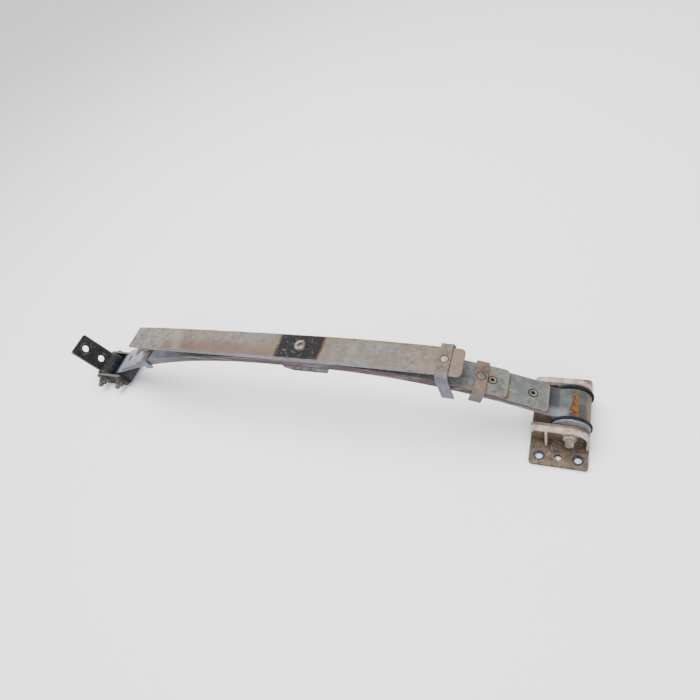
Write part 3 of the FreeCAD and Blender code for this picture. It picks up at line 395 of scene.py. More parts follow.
def overload_material():
    """Grey scale with a pinkish rear, a tan front and the black print of the spring pad."""
    c, s = colours(), sizes()
    steel = Layers("overload_leaf_scale", 2.0, c.scale_grey, (0.5, 1.0, 1.0))
    p = steel.paint
    wander = (p.noise(70.0, 5.0, 0.6) - 0.5) * 0.012
    x = p.x + wander
    straight = p.x + wander * 0.35
    near = p.y.rise(0.012, -0.022)
    # pinkish dust and brown rust behind the print
    rear_zone = x.between(-0.345, -0.055, 0.035)
    steel.dust(rear_zone * (0.35 + near * 0.65), c.dust_pink, 1.15)
    bloom = p.noise(9.0, 5.0, 0.6, 0.4, (0.6, 1.0, 1.0), 3.3).rise(0.38, 0.62)
    steel.lay(rear_zone * near * (0.35 + bloom * 0.4), tone(c.rust_brown, 1.15), 0.8, 0.0)
    steel.rust(rear_zone * near, tone(c.rust_brown, 1.15), 0.18)
    streak = (x + p.y * 0.35).between(-0.335, -0.312, 0.012)
    steel.lay(streak * 0.45, tone(c.scale_grey, 1.35), 0.6)
    # cool and warm clouds ahead of the print, dusty towards the tip
    cool = x.between(0.065, 0.215, 0.05) * p.noise(16.0, 4.0, 0.5, shift=2.0).rise(0.36, 0.6)
    steel.lay(cool * 0.35, tone(c.scale_green, 0.85), 0.55, 0.3)
    warm = p.noise(22.0, 5.0, 0.6, 0.5, shift=6.1).rise(0.44, 0.60) * x.rise(0.05, 0.09)
    steel.lay(warm * 0.55, tone(c.dust_pink, 0.92), 0.8, 0.0)
    blue_spot = p.noise(26.0, 7.0, 0.7, 0.8, shift=9.0).rise(0.57, 0.70) * x.between(0.14, 0.23, 0.03)
    steel.lay(blue_spot * 0.8, tone(c.scale_blue, 0.36), 0.5, 0.3)
    steel.dust(x.rise(0.19, 0.30), tone(c.dust_tan, 0.92), 0.75)
    far_edge = (p.y + wander * 0.6).rise(0.019, 0.027) * x.rise(-0.1, 0.1)
    steel.rust(far_edge, c.dust_tan, 0.95, 1.0)
    steel.rust(far_edge, c.rust_brown, 0.30, 2.0)
    # print of the spring pad, with a tan band on both sides of it
    glow_rear = straight.between(-s.print_rear - 0.021, -s.print_rear + 0.004, 0.004)
    glow_front = straight.between(s.print_front - 0.004, s.print_front + 0.027, 0.005)
    steel.lay(glow_rear * (0.45 + steel.mottle.rise(0.4, 0.6) * 0.35), tone(c.dust_tan, 0.68), 0.85, 0.0)
    steel.lay(glow_front * (0.55 + steel.mottle.rise(0.4, 0.6) * 0.3), tone(c.dust_tan, 0.78), 0.85, 0.0)
    rim = straight.between(-s.print_rear - 0.0045, -s.print_rear + 0.004, 0.002) + straight.between(
        s.print_front - 0.004, s.print_front + 0.0045, 0.002)
    steel.rust(rim.least(1.0), tone(c.rust_brown, 1.05), 0.85, 3.0)
    print_zone = straight.between(-s.print_rear, s.print_front, 0.0018)
    tar = p.noise(90.0, 8.0, 0.72, 0.6, shift=4.0)
    steel.lay(print_zone * (0.99 - tar.rise(0.60, 0.72) * 0.4), tone(c.print_black, 0.75), 0.6, 0.0, 0.9)
    steel.lay(print_zone * tar.rise(0.52, 0.64) * 0.45, tone(c.rust_purple, 0.42), 0.7, 0.0)
    steel.lay(print_zone * steel.patch.rise(0.56, 0.66) * 0.6, tone(c.scale_blue, 0.40), 0.6, 0.1)
    chips = p.cells(150.0, shift=6.0).rise(0.20, 0.10) * p.noise(120.0, 4.0, 0.6, shift=8.0).rise(0.54, 0.60)
    steel.lay(print_zone * chips * 0.9, tone(c.bolt_light, 0.9), 0.5, 0.2, 0.2)
    washer = distance(p.x, p.y)
    steel.lay(washer.between(0.0118, 0.0165, 0.0012) * 0.55, tone(c.print_black, 0.5), 0.4, 0.0)
    steel.lay(edge_line(p, s.edge_band) * (0.35 + steel.mottle.rise(0.4, 0.6) * 0.5), c.dust_tan, 0.85, 0.0)
    # long sides, edges and the sawn rear end
    side = side_mask(p)
    side_tint = p.over(steel.broad.rise(0.42, 0.62), tone(c.scale_blue, 0.80), tone(c.scale_blue, 1.08))
    steel.lay(side * 0.92, side_tint, 0.5, 0.25)
    steel.rust(side * x.rise(-0.45, 0.12), tone(c.rust_purple, 0.9), 0.20, 5.0)
    steel.pits(1 - print_zone, 240.0, 0.15)
    steel.pits(side, 150.0, 0.26)
    tip_rear = p.x.rise(-0.4545, -0.4556)
    steel.lay(tip_rear * 0.7, tone(c.scale_blue, 1.1), 0.45, 0.35)
    return steel.done(0.0006, 0.6)


def lower_leaf_material(name, seed, front_tip, rear_tip):
    """Scale of a lower leaf: grey-green at the front, bluish with purple rust at the rear, where it is also
    lightened as painted light.
    """
    c, s = colours(), sizes()
    steel = Layers(name, seed, tone(c.scale_green, 1.12), (0.6, 1.0, 1.0))
    p = steel.paint
    wander = (p.noise(60.0, 6.0, 0.62, shift=1.0) - 0.5) * 0.02
    front = p.x.rise(0.1, 0.3)
    rear = p.x.rise(-0.25, -0.40)
    haze = p.noise(20.0, 6.0, 0.6, 0.4, shift=5.0)
    steel.lay(front * haze.rise(0.46, 0.66) * 0.6, tone(c.scale_blue, 0.50), 0.5, 0.3)
    steel.rust(front, tone(c.dust_tan, 0.86), 0.26, 4.0)
    steel.rust(front, tone(c.rust_brown, 1.15), 0.0, 6.0)
    # Bluish rear scale, made extra light to lift the shadow the overload leaf casts there: real colour and
    # painted light together.
    rear_scale_and_painted_light = p.over(haze.rise(0.40, 0.60), tone(c.scale_blue, 1.2), tone(c.scale_blue, 1.7))
    steel.lay(rear * 0.9, rear_scale_and_painted_light, 0.5, 0.20)
    far_half = (p.y + wander).rise(0.0, 0.012)
    steel.rust(rear * far_half * p.x.rise(-0.545, -0.52), tone(c.rust_purple, 0.92), 0.95, 2.0)
    steel.rust(rear, tone(c.rust_purple, 0.95), 0.12, 3.0)
    tip = (p.x + wander * 0.2).rise(front_tip - 0.0045, front_tip - 0.002)
    steel.lay(tip * 0.8, c.dust_tan, 0.85, 0.0, 0.15)
    tip_rear = p.x.rise(rear_tip + 0.004, rear_tip + 0.001)
    steel.lay(tip_rear * 0.6, tone(c.scale_blue, 1.2), 0.5, 0.2)
    steel.lay(edge_line(p, s.edge_band) * (0.30 + steel.mottle.rise(0.4, 0.6) * 0.6), c.dust_tan, 0.85, 0.0)
    side = side_mask(p)
    long_streak = p.noise(1.0, 5.0, 0.6, 0.2, (9.0, 40.0, 150.0), 6.0)
    side_tint = p.over(long_streak.rise(0.50, 0.60), tone(c.rust_purple, 0.85), tone(c.scale_blue, 0.85))
    steel.lay(side * 0.95, side_tint, 0.65, 0.1)
    steel.rust(side * p.x.rise(-0.35, -0.2), tone(c.rust_brown, 0.95), 0.12, 8.0)
    steel.lay(side * p.x.rise(-0.25, -0.45) * 0.7, tone(c.scale_blue, 0.98), 0.55, 0.15)
    hidden = p.x.between(-0.22, 0.2, 0.06) * (1 - side)
    steel.rust(hidden, tone(c.rust_brown, 0.7), 0.75, 9.0)
    steel.pits(1.0 - side * 0.5, 230.0, 0.17)
    steel.scratches(front, (14.0, 260.0, 60.0), tone(c.scale_blue, 1.2), 0.3)
    return steel


def main_leaf_material():
    """Lower-leaf scale, with the front eye's own finish, a rust run over the front eye and painted shade on the
    rear eye.
    """
    c = colours()
    steel = lower_leaf_material("main_leaf_scale", 13.0, 0.9, -0.9)
    p = steel.paint
    front_eye = joint_place("front_eye_pivot")
    rear_eye = joint_place("rear_eye_pivot")
    across = p.x - front_eye.x
    up = p.z - front_eye.z
    reach = distance(across, up)
    round_eye = reach.rise(0.036, 0.0335)
    turn = up.angle(across)
    wander = (p.noise(75.0, 6.0, 0.65, shift=3.0) - 0.5) * 0.5
    band = (p.x + wander * 0.004).between(0.462, 0.487, 0.005) * p.z.rise(-0.135, -0.13)
    steel.lay(band * 0.85, tone(c.scale_blue, 0.16), 0.5, 0.3)
    eye_tint = steel.shades(0.4, 0.62, tone(c.scale_green, 0.36), tone(c.scale_green, 0.62))
    steel.lay(round_eye * 0.85, eye_tint, 0.55, 0.20)
    # bare smear and rust run over the eye
    smear = (turn + wander * 1.4).between(1.75, 2.65, 0.22) * (p.y + wander * 0.03).rise(-0.006, -0.020)
    front_half = p.x.rise(0.2, 0.3)
    steel.lay(smear * p.z.rise(-0.142, -0.13) * front_half * 0.5, tone(c.scale_blue, 1.15), 0.45, 0.25)
    flecks = p.noise(150.0, 6.0, 0.7, 0.3, shift=8.0)
    steel.rust(smear * front_half, c.rust_orange, 0.12, 11.0)
    run_width = 0.05 + (0.030 - p.y) * 3.4
    run = (turn - 1.42 + wander * 0.32) / run_width
    wedge = abs(run + (flecks - 0.5) * 0.7).rise(1.15, 0.85) * round_eye * p.y.between(-0.0265, 0.021, 0.003)
    charred = (flecks + run * 0.10).rise(0.47, 0.58)
    wedge_tint = p.over(charred, tone(c.rust_orange, 0.85), tone(c.rust_brown, 0.50))
    steel.lay(wedge * 0.96, wedge_tint, 0.9, 0.0, 0.5)
    halo = abs(run).rise(1.55, 1.05) * round_eye * p.y.between(-0.028, 0.024, 0.004)
    steel.lay(halo * (1 - wedge) * 0.35, tone(c.print_black, 1.0), 0.7, 0.0)
    steel.rust(round_eye * p.x.rise(front_eye.x + 0.02, front_eye.x + 0.032), c.dust_tan, 0.7, 12.0)
    # Painted shade: the rear eye, which lies in deep shadow, is painted charcoal.
    rear_eye_painted_shade_mask = distance(p.x - rear_eye.x, p.z - rear_eye.z).rise(0.030, 0.026)
    rear_eye_painted_shade = steel.shades(0.45, 0.6, tone(c.paint_charcoal, 0.8), tone(c.paint_charcoal, 1.5))
    steel.lay(rear_eye_painted_shade_mask * 0.9, rear_eye_painted_shade, 0.55, 0.1)
    return steel.done(0.0005, 0.6)


class SPRING_OT_leaves(Operator):
    """Finish the four leaves with scale, rust, dust and the pad print"""
    bl_idname = "leaf_spring.leaves"
    bl_label = "Finish the Leaves"

    def execute(self, context):
        c = colours()
        dress("overload_leaf", overload_material())
        for name, seed in (("third_leaf", 5.0), ("second_leaf", 9.0)):
            low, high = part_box(name)
            steel = lower_leaf_material(name + "_scale", seed, high.x, low.x)
            for end in ("_front_liner", "_rear_liner"):
                steel.ring(name + end, 0.0055, 0.0088, tone(c.print_black, 1.1), 0.8, 0.0009)
            dress(name, steel.done())
        dress("main_leaf", main_leaf_material())
        return {"FINISHED"}


# ---- clips, rivets and liners ----
def clip_material(name, seed, top_tint, leg_tint, rivet):
    """Weathered strap: one tint over the leaf and a cooler one down the legs."""
    c = colours()
    steel = Layers(name, seed, top_tint)
    p = steel.paint
    leg = abs(p.y).rise(0.0315, 0.0345)
    steel.lay(leg * 0.85, steel.shades(0.4, 0.62, tone(leg_tint, 0.85), tone(leg_tint, 1.12)), 0.5, 0.3)
    steel.dust(1 - leg, c.dust_tan, 0.55)
    steel.rust(1 - leg * 0.5, tone(c.rust_brown, 1.3), 0.16, 4.0)
    bend = abs(p.y).between(0.0285, 0.0335, 0.0012)
    steel.lay(bend * 0.4, tone(top_tint, 1.35), 0.45, 0.35)
    steel.pits(1.0, 260.0, 0.18)
    steel.scratches(leg, (240.0, 240.0, 16.0), tone(c.scale_blue, 1.3), 0.5)
    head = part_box(rivet)
    radius = (head[1].y - head[0].y) / 2
    steel.ring(rivet, radius - 0.0008, radius + 0.0018, tone(c.print_black, 1.0), 0.75, 0.0006)
    return steel.done(0.0004, 0.6)


def rivet_material(name, seed, tint):
    """Rubbed rivet head with a little rust and dust."""
    c = colours()
    steel = Layers(name, seed, tint)
    steel.rust(1.0, tone(c.rust_brown, 1.3), 0.12, 2.0)
    steel.dust(1.0, tone(c.dust_tan, 1.05), 0.35)
    steel.metal = 0.45 - steel.mottle * 0.2
    return steel.done(0.0003, 0.5)


class SPRING_OT_clips(Operator):
    """Finish the rebound clips and their rivets"""
    bl_idname = "leaf_spring.clips"
    bl_label = "Finish the Clips"

    def execute(self, context):
        c = colours()
        straps = (
            ("overload_clip", "overload_clip_strap", 21.0, tone(c.scale_grey, 0.72), tone(c.scale_blue, 0.72)),
            ("third_leaf_front_clip", "third_leaf_clip_strap", 23.0, tone(c.dust_pink, 0.70),
             tone(c.scale_grey, 0.74)),
            ("third_leaf_rear_clip", "third_leaf_rear_clip_strap", 25.0, tone(c.scale_blue, 0.66),
             tone(c.scale_blue, 0.80)))
        for node, name, seed, top_tint, leg_tint in straps:
            dress(node, clip_material(name, seed, top_tint, leg_tint, node + "_rivet"))
        rivets = (
            ("overload_clip_rivet", "overload_clip_rivet_head", 22.0, tone(c.bolt_light, 1.6)),
            ("third_leaf_front_clip_rivet", "third_leaf_rivet_head", 24.0, c.scale_green),
            ("third_leaf_rear_clip_rivet", "third_leaf_rear_rivet_head", 26.0, tone(c.rust_brown, 1.2)))
        for node, name, seed, tint in rivets:
            dress(node, rivet_material(name, seed, tint))
        return {"FINISHED"}


def liner_material(node):
    """Dirty plastic pad whose button has a tan rim round a dark dish."""
    c = colours()
    p = Paint(node + "_plastic", 31.0)
    grain = p.noise(300.0, 6.0, 0.65)
    dirt = p.noise(90.0, 5.0, 0.6)
    corner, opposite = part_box(node)
    middle = (corner + opposite) / 2
    away = distance(p.x - middle.x, p.y - middle.y)
    tint = p.over(grain.rise(0.35, 0.65), tone(c.dust_tan, 0.85), tone(c.dust_tan, 1.3))
    tint = p.over(dirt.rise(0.54, 0.66) * 0.35, tint, tone(c.print_black, 1.3))
    tint = p.over(away.rise(0.0040, 0.0034), tint, tone(c.print_black, 0.8))
    return p.set(tint, 0.62 + grain * 0.2, 0.0, grain, 0.0003, 0.5)


class SPRING_OT_liners(Operator):
    """Finish the tip liners and fill their dishes with grime"""
    bl_idname = "leaf_spring.liners"
    bl_label = "Finish the Liners"

    def execute(self, context):
        for node in ("third_leaf_front_liner", "third_leaf_rear_liner", "second_leaf_front_liner",
                     "second_leaf_rear_liner"):
            dress(node, liner_material(node))
        return {"FINISHED"}


# ---- bolts, nuts and threads ----
def zinc_material(name, seed, light, dark, rust_amount=0.2):
    """Dirty zinc plating with rubbed corners and rust in the hollows."""
    c = colours()
    steel = Layers(name, seed, light)
    steel.lay(steel.mottle.rise(0.56, 0.40) * 0.8, dark, 0.7, 0.1)
    steel.rust(1.0, tone(c.rust_brown, 1.1), rust_amount, 3.0)
    steel.dust(1.0, c.dust_tan, 0.25)
    steel.metal = 0.5 - steel.mottle * 0.3
    return steel.done(0.0003, 0.5)


def clear_selection():
    if bpy.context.object is not None and bpy.context.object.mode != "OBJECT":
        bpy.ops.object.mode_set(mode="OBJECT")
    bpy.ops.object.select_all(action="DESELECT")


def bake_place(piece):
    """Put a piece's place, turn and scale into its mesh."""
    clear_selection()
    piece.select_set(True)
    bpy.context.view_layer.objects.active = piece
    bpy.ops.object.transform_apply(location=True, rotation=True, scale=True)


def apply_all(piece):
    """Apply every modifier of a piece."""
    clear_selection()
    piece.select_set(True)
    bpy.context.view_layer.objects.active = piece
    for modifier in list(piece.modifiers):
        bpy.ops.object.modifier_apply(modifier=modifier.name)


THREAD_STEPS = 28   # faces round one turn of a thread


def thread(name, axis_point, direction, start, end, shank, body, material):
    """Rolled thread on a bolt's end: a wedge section wound round the shank."""
    s = sizes()
    pitch, crest = s.thread_pitch, s.thread_height
    turns = int((end - start) / pitch) - 1
    clear_selection()
    bpy.ops.mesh.primitive_circle_add(vertices=4, radius=pitch * 0.46, fill_type="NOTHING",
                                      enter_editmode=True)
    bpy.ops.mesh.select_all(action="SELECT")
    bpy.ops.transform.rotate(value=math.pi / 2, orient_axis="X", center_override=(0, 0, 0))
    bpy.ops.transform.resize(value=(crest * 2.2 / pitch, 1.0, 1.0), center_override=(0, 0, 0))
    bpy.ops.transform.translate(value=(shank, 0, start + pitch))
    bpy.ops.object.mode_set(mode="OBJECT")
    piece = bpy.context.object
    piece.name = name
    wind = piece.modifiers.new("wind", "SCREW")
    wind.axis = "Z"
    wind.angle = 2 * math.pi
    wind.screw_offset = pitch
    wind.iterations = turns - 1
    wind.steps = THREAD_STEPS
    wind.render_steps = THREAD_STEPS
    wind.use_normal_calculate = True
    wind.use_merge_vertices = False
    apply_all(piece)
    bpy.ops.object.mode_set(mode="EDIT")
    bpy.ops.mesh.select_all(action="SELECT")
    bpy.ops.mesh.remove_doubles(threshold=0.000005)
    bpy.ops.mesh.select_all(action="DESELECT")
    bpy.ops.mesh.select_non_manifold(extend=False)
    bpy.ops.mesh.edge_face_add()
    bpy.ops.mesh.select_all(action="SELECT")
    bpy.ops.mesh.normals_make_consistent(inside=False)
    bpy.ops.object.mode_set(mode="OBJECT")
    turn = Vector((0, 0, 1)).rotation_difference(Vector(direction)).to_matrix().to_4x4()
    piece.matrix_world = Matrix.Translation(axis_point) @ turn
    bake_place(piece)
    piece.data.materials.clear()
    piece.data.materials.append(material)
    bpy.ops.object.shade_smooth_by_angle(angle=math.radians(35))
    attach(piece, body)


class SPRING_OT_fasteners(Operator):
    """Finish bolts and nuts, and wind the threads on the bolt ends"""
    bl_idname = "leaf_spring.fasteners"
    bl_label = "Finish the Fasteners"

    def execute(self, context):
        c = colours()
        head = zinc_material("centre_bolt_zinc", 41.0, tone(c.bolt_light, 1.0), c.bolt_dark, 0.15)
        dress("centre_bolt", head)
        dress("centre_nut", zinc_material("centre_nut_zinc", 42.0, c.bolt_dark, tone(c.rust_brown, 0.7), 0.5))
        front = zinc_material("front_bolt_zinc", 43.0, tone(c.bolt_light, 1.1), tone(c.bolt_dark, 1.0), 0.05)
        dress("front_bolt", front)
        nut = zinc_material("front_nut_zinc", 44.0, tone(c.bolt_light, 1.7), tone(c.bolt_dark, 1.6), 0.03)
        dress("front_nut", nut)
        rear = zinc_material("shackle_bolt_zinc", 45.0, tone(c.scale_grey, 0.70), tone(c.bolt_dark, 0.45), 0.05)
        for node in ("rear_eye_bolt", "bracket_eye_bolt", "rear_eye_nut", "bracket_eye_nut"):
            dress(node, rear)
        near, down = (0.0, -1.0, 0.0), (0.0, 0.0, -1.0)
        for end, joint, shank, body, steel in (
                ("front", "front_eye_pivot", 0.007, "front_hanger", front),
                ("rear_eye", "rear_eye_pivot", 0.006, "shackle", rear),
                ("bracket_eye", "bracket_eye_pivot", 0.006, "shackle", rear)):
            nut_face = -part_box(end + "_nut")[0].y
            bolt_end = -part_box(end + "_bolt")[0].y
            thread(end + "_bolt_thread", joint_place(joint), near, nut_face, bolt_end - 0.001,
                   shank, body, steel)
        nut_face = -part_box("centre_nut")[0].z
        bolt_end = -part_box("centre_bolt")[0].z
        thread("centre_bolt_thread", Vector((0, 0, 0)), down, nut_face, bolt_end - 0.0008,
               0.006, "spring_pack", head)
        return {"FINISHED"}


# ---- spacer ----
class SPRING_OT_spacer(Operator):
    """Finish the spacer plate under the pack"""
    bl_idname = "leaf_spring.spacer"
    bl_label = "Finish the Spacer Plate"

    def execute(self, context):
        c = colours()
        steel = Layers("spacer_plate_scale", 51.0, tone(c.scale_blue, 0.72))
        p = steel.paint
        steel.rust(1.0, tone(c.rust_purple, 0.9), 0.4)
        steel.lay(p.z.rise(-0.036, -0.043) * 0.55, tone(c.print_black, 1.6), 0.6, 0.1)
        steel.pits(1.0, 200.0, 0.2)
        dress("spacer_plate", steel.done())
        return {"FINISHED"}


# ---- front bush ----
def rubber_material(name, seed, tint):
    """Weathered rubber: fine cracks, grey bloom and dust on the lip."""
    c = colours()
    p = Paint(name, seed)
    bloom = p.noise(48.0, 7.0, 0.65)
    grain = p.noise(520.0, 5.0, 0.65)
    cracks = p.cells(190.0, (1.0, 1.0, 1.0), 2.0)
    shade = p.over(bloom.rise(0.38, 0.66), tone(tint, 0.55), tone(tint, 1.3))
    shade = p.over(grain.rise(0.55, 0.7) * 0.4, shade, tone(c.dust_tan, 0.30))
    shade = p.over(bloom.rise(0.58, 0.72) * 0.4, shade, tone(c.dust_tan, 0.35))
    height = grain * 0.4 + bloom * 0.6 + cracks.rise(0.0, 0.35) * 0.3
    return p.set(shade, 0.70 + bloom * 0.18, 0.0, height, 0.0004, 0.55)


class SPRING_OT_front_bush(Operator):
    """Finish the front bush: sleeves, rubber and dished washers"""
    bl_idname = "leaf_spring.front_bush"
    bl_label = "Finish the Front Bush"

    def execute(self, context):
        c = colours()
        dress("front_bush_rubber", rubber_material("front_bush_rubber_black", 61.0, c.rubber_black))
        sleeve = zinc_material("bush_sleeve_steel", 62.0, c.bolt_dark, tone(c.bolt_dark, 0.5), 0.3)
        dress("front_bush_outer_sleeve", sleeve)
        dress("front_bush_inner_sleeve", sleeve)
        eye = joint_place("front_eye_pivot")
        steel = Layers("front_cup_steel", 63.0, tone(c.scale_blue, 0.78))
        p = steel.paint
        reach = distance(p.x - eye.x, p.z - eye.z)
        steel.dust(reach.rise(0.030, 0.022), tone(c.dust_tan, 0.9), 0.7)
        steel.lay(reach.rise(0.0315, 0.0328) * 0.6, tone(c.scale_blue, 1.35), 0.35, 0.6)
        steel.rust(1.0, tone(c.rust_brown, 1.1), 0.12)
        # Painted shade: the far half of the cups, inside the shaded hanger, is darkened with charcoal.
        steel.lay(p.y.rise(0.0, 0.01) * 0.8, tone(c.paint_charcoal, 0.8), 0.6, 0.1)
        dress("front_bush_cups", steel.done(0.0004))
        return {"FINISHED"}


# ---- hanger ----
EAR_LIP = 0.011   # how far an ear's lip stands out from its plate


def base_plate_material():
    """Caked dirt over steel, with the prints of washers round the bolt holes."""
    c = colours()
    steel = Layers("hanger_base_dirt", 71.0, c.base_dirt)
    p = steel.paint
    caked = p.noise(130.0, 8.0, 0.72, 0.4, shift=1.0)
    steel.lay(caked.rise(0.50, 0.60) * 0.65, tone(c.base_dirt, 0.50), 0.92, 0.0, -0.8)
    steel.lay(caked.rise(0.60, 0.70) * 0.55, tone(c.base_dirt, 0.28), 0.9, 0.0, -0.8)
    steel.rust(1.0, tone(c.rust_brown, 1.0), 0.22, 2.0)
    steel.dust(1.0, tone(c.dust_tan, 1.0), 0.35)
    for pattern in (m for m in frame["record"]["mounts"] if m["kind"] == "bolt_pattern"):
        x0, y0 = pattern["pos_m"][0], pattern["pos_m"][1]
        half_x = pattern["dims"].get("spacing_x_mm", 0.0) / 2000
        half_y = pattern["dims"]["spacing_y_mm"] / 2000
        hole = pattern["dims"]["hole_r_mm"] / 1000
        ring = 0.0048 if half_x else 0.0018
        away_x = abs(abs(p.x - x0) - half_x)
        away_y = abs(abs(p.y - y0) - half_y)
        reach = distance(away_x, away_y) + (caked - 0.5) * 0.0018
        washer = reach.between(hole - 0.001, hole + ring, 0.0006)
        print_tint = p.over(steel.grain.rise(0.4, 0.6), tone(c.paint_charcoal, 0.55), tone(c.scale_blue, 0.50))
        steel.lay(washer * 0.90, print_tint, 0.5, 0.3, -0.5)
        outline = reach.between(hole + ring, hole + ring + 0.0014, 0.0005)
        steel.lay(outline * 0.75, tone(c.dust_tan, 1.10), 0.9, 0.0, 0.6)
    scratch = p.noise(1.0, 2.0, 0.5, 1.2, (190.0, 22.0, 60.0), 4.0)
    steel.lay(scratch.rise(0.655, 0.685) * 0.75, tone(c.dust_tan, 1.25), 0.8, 0.0, -0.3)
    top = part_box("hanger_base_plate")[1].z
    side = p.z.rise(top - 0.0006, top - 0.0018)
    steel.lay(side * 0.6, tone(c.print_black, 1.2), 0.8, 0.0)
    steel.pits(1.0, 180.0, 0.2)
    return steel.done(0.0008, 0.7)


def ear_material():
    """Dirt on an ear's plate, a much lighter lip, painted shadow below the lip and painted shade on its inner
    face.
    """
    c = colours()
    steel = Layers("hanger_ear_dirt", 73.0, tone(c.base_dirt, 0.92))
    p = steel.paint
    inside, lip_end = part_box("hanger_far_ear")[0].y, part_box("hanger_far_ear")[1].y
    lip = abs(p.y).rise(lip_end - EAR_LIP + 0.0002, lip_end - EAR_LIP + 0.0022)
    steel.lay(lip * 0.8, steel.shades(0.4, 0.6, tone(c.dust_pink, 2.3), tone(c.bolt_light, 2.0)), 0.7, 0.05)
    steel.rust(lip, tone(c.rust_brown, 1.2), 0.05, 3.0)
    # Painted shadow: below the lip the plate darkens towards its foot.
    shade = p.z.rise(-0.135, -0.17) * (1 - lip)
    steel.lay(shade * 0.6, tone(c.base_dirt, 0.42), 0.9, 0.0)
    # Painted shade: the ear's inner face, inside the shaded hanger, is darkened with charcoal.
    inner = abs(p.y).rise(inside + 0.0006, inside + 0.0001)
    steel.lay(inner * 0.7, tone(c.paint_charcoal, 0.75), 0.6, 0.05)
    steel.pits(1.0, 200.0, 0.2)
    steel.scratches(lip, (60.0, 200.0, 200.0), tone(c.bolt_light, 1.0), 0.5)
    return steel.done(0.0006, 0.6)


CUTS_PER_RIPPLE = 6   # rings of vertices in each ripple of a weld bead


def weld_bead(name, start, end, outward, material):
    """Fillet weld between an ear's foot and the base plate, with the ripples of its passes."""
    s = sizes()
    leg = s.weld_leg
    run = end - start
    clear_selection()
    bpy.ops.mesh.primitive_cylinder_add(vertices=16, radius=leg * 0.72, depth=run.length, enter_editmode=True)
    bpy.ops.mesh.select_all(action="SELECT")
    bpy.ops.transform.rotate(value=math.pi / 2, orient_axis="Y", center_override=(0, 0, 0))
    piece = bpy.context.object
    piece.name = name
    steps = int(run.length / s.weld_ripple * CUTS_PER_RIPPLE)
    for step in range(1, steps):
        x = -run.length / 2 + run.length * step / steps
        bpy.ops.mesh.select_all(action="SELECT")
        bpy.ops.mesh.bisect(plane_co=(x, 0, 0), plane_no=(1, 0, 0))
    bpy.ops.object.mode_set(mode="OBJECT")
    for vertex in piece.data.vertices:
        phase = vertex.co.x / s.weld_ripple
        crescent = phase + 0.35 * math.sin(vertex.co.y / leg * 2.0)
        swell = 1.0 + 0.07 * math.sin(2 * math.pi * crescent) + 0.05 * math.sin(phase * 1.7 + 0.6)
        end_fade = min(1.0, (run.length / 2 - abs(vertex.co.x)) / leg + 0.35)
        vertex.co.y *= swell * end_fade
        vertex.co.z *= swell * end_fade
    piece.location = (start + end) / 2 + Vector((0, outward * leg * 0.10, leg * 0.05))
    bake_place(piece)
    bpy.ops.object.shade_smooth_by_angle(angle=math.radians(50))
    piece.data.materials.clear()
    piece.data.materials.append(material)
    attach(piece, "front_hanger")


class SPRING_OT_hanger(Operator):
    """Finish the hanger's base plate and ears, and lay the weld beads"""
    bl_idname = "leaf_spring.hanger"
    bl_label = "Finish the Hanger"

    def execute(self, context):
        c = colours()
        dress("hanger_base_plate", base_plate_material())
        ears = ear_material()
        weld = zinc_material("weld_bead_steel", 75.0, tone(c.base_dirt, 0.9), tone(c.base_dirt, 0.4), 0.5)
        for side, node in ((-1, "hanger_near_ear"), (1, "hanger_far_ear")):
            dress(node, ears)
            low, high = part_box(node)
            outside = (max(abs(low.y), abs(high.y)) - EAR_LIP) * side
            inside = min(abs(low.y), abs(high.y)) * side
            foot = low.z
            name = node.replace("hanger_", "").replace("_ear", "_ear_weld")
            for place, y, short_start, short_end, outward in (
                    ("_outer", outside, 0.008, 0.008, side), ("_inner", inside, 0.004, 0.012, -side)):
                start = Vector((low.x + short_start, y, foot))
                end = Vector((high.x - short_end, y, foot))
                weld_bead(name + place, start, end, outward, weld)
        return {"FINISHED"}


# ---- shackle and strap ----
def charcoal_material(name, seed):
    """Worn charcoal paint with grey scuffs, chips and dust."""
    c = colours()
    steel = Layers(name, seed, c.paint_charcoal)
    p = steel.paint
    steel.metal = 0.05 + steel.mottle * 0.05
    steel.rough = 0.48 + steel.mottle * 0.25
    scuffs = p.noise(70.0, 6.0, 0.7, 0.9, shift=5.0)
    steel.lay(scuffs.rise(0.60, 0.70) * 0.35, tone(c.scale_grey, 0.60), 0.6, 0.1)
    steel.dust(1.0, tone(c.dust_tan, 0.50), 0.14)
    steel.pits(1.0, 210.0, 0.16)
    return steel


def strap_material():
    """Charcoal paint rubbed along the edges and round the bolt holes."""
    c = colours()
    steel = charcoal_material("rear_bracket_paint", 83.0)
    p = steel.paint
    edge = abs(p.y).rise(0.0272, 0.0292)
    steel.lay(edge * (0.25 + steel.mottle.rise(0.42, 0.6) * 0.5), tone(c.scale_grey, 0.85), 0.55, 0.2)
    for hole in (m for m in frame["record"]["mounts"] if m["kind"] == "bore"):
        centre = Vector(hole["pos_m"])
        away = distance(p.x - centre.x, p.y, p.z - centre.z)
        rim = away.between(0.0093, 0.0116, 0.0007)
        steel.lay(rim * 0.75, tone(c.print_black, 0.7), 0.5, 0.1)
        print_ring = away.between(0.0125, 0.0165, 0.001)
        steel.lay(print_ring * steel.mottle.rise(0.42, 0.6) * 0.35, tone(c.scale_grey, 0.8), 0.6, 0.2)
    chips = p.cells(120.0, shift=3.0).rise(0.20, 0.10) * p.noise(60.0, 3.0, 0.5, shift=7.0).rise(0.52, 0.58)
    steel.lay(chips * 0.9, tone(c.scale_grey, 1.15), 0.5, 0.3, -0.6)
    return steel.done(0.0004, 0.55)


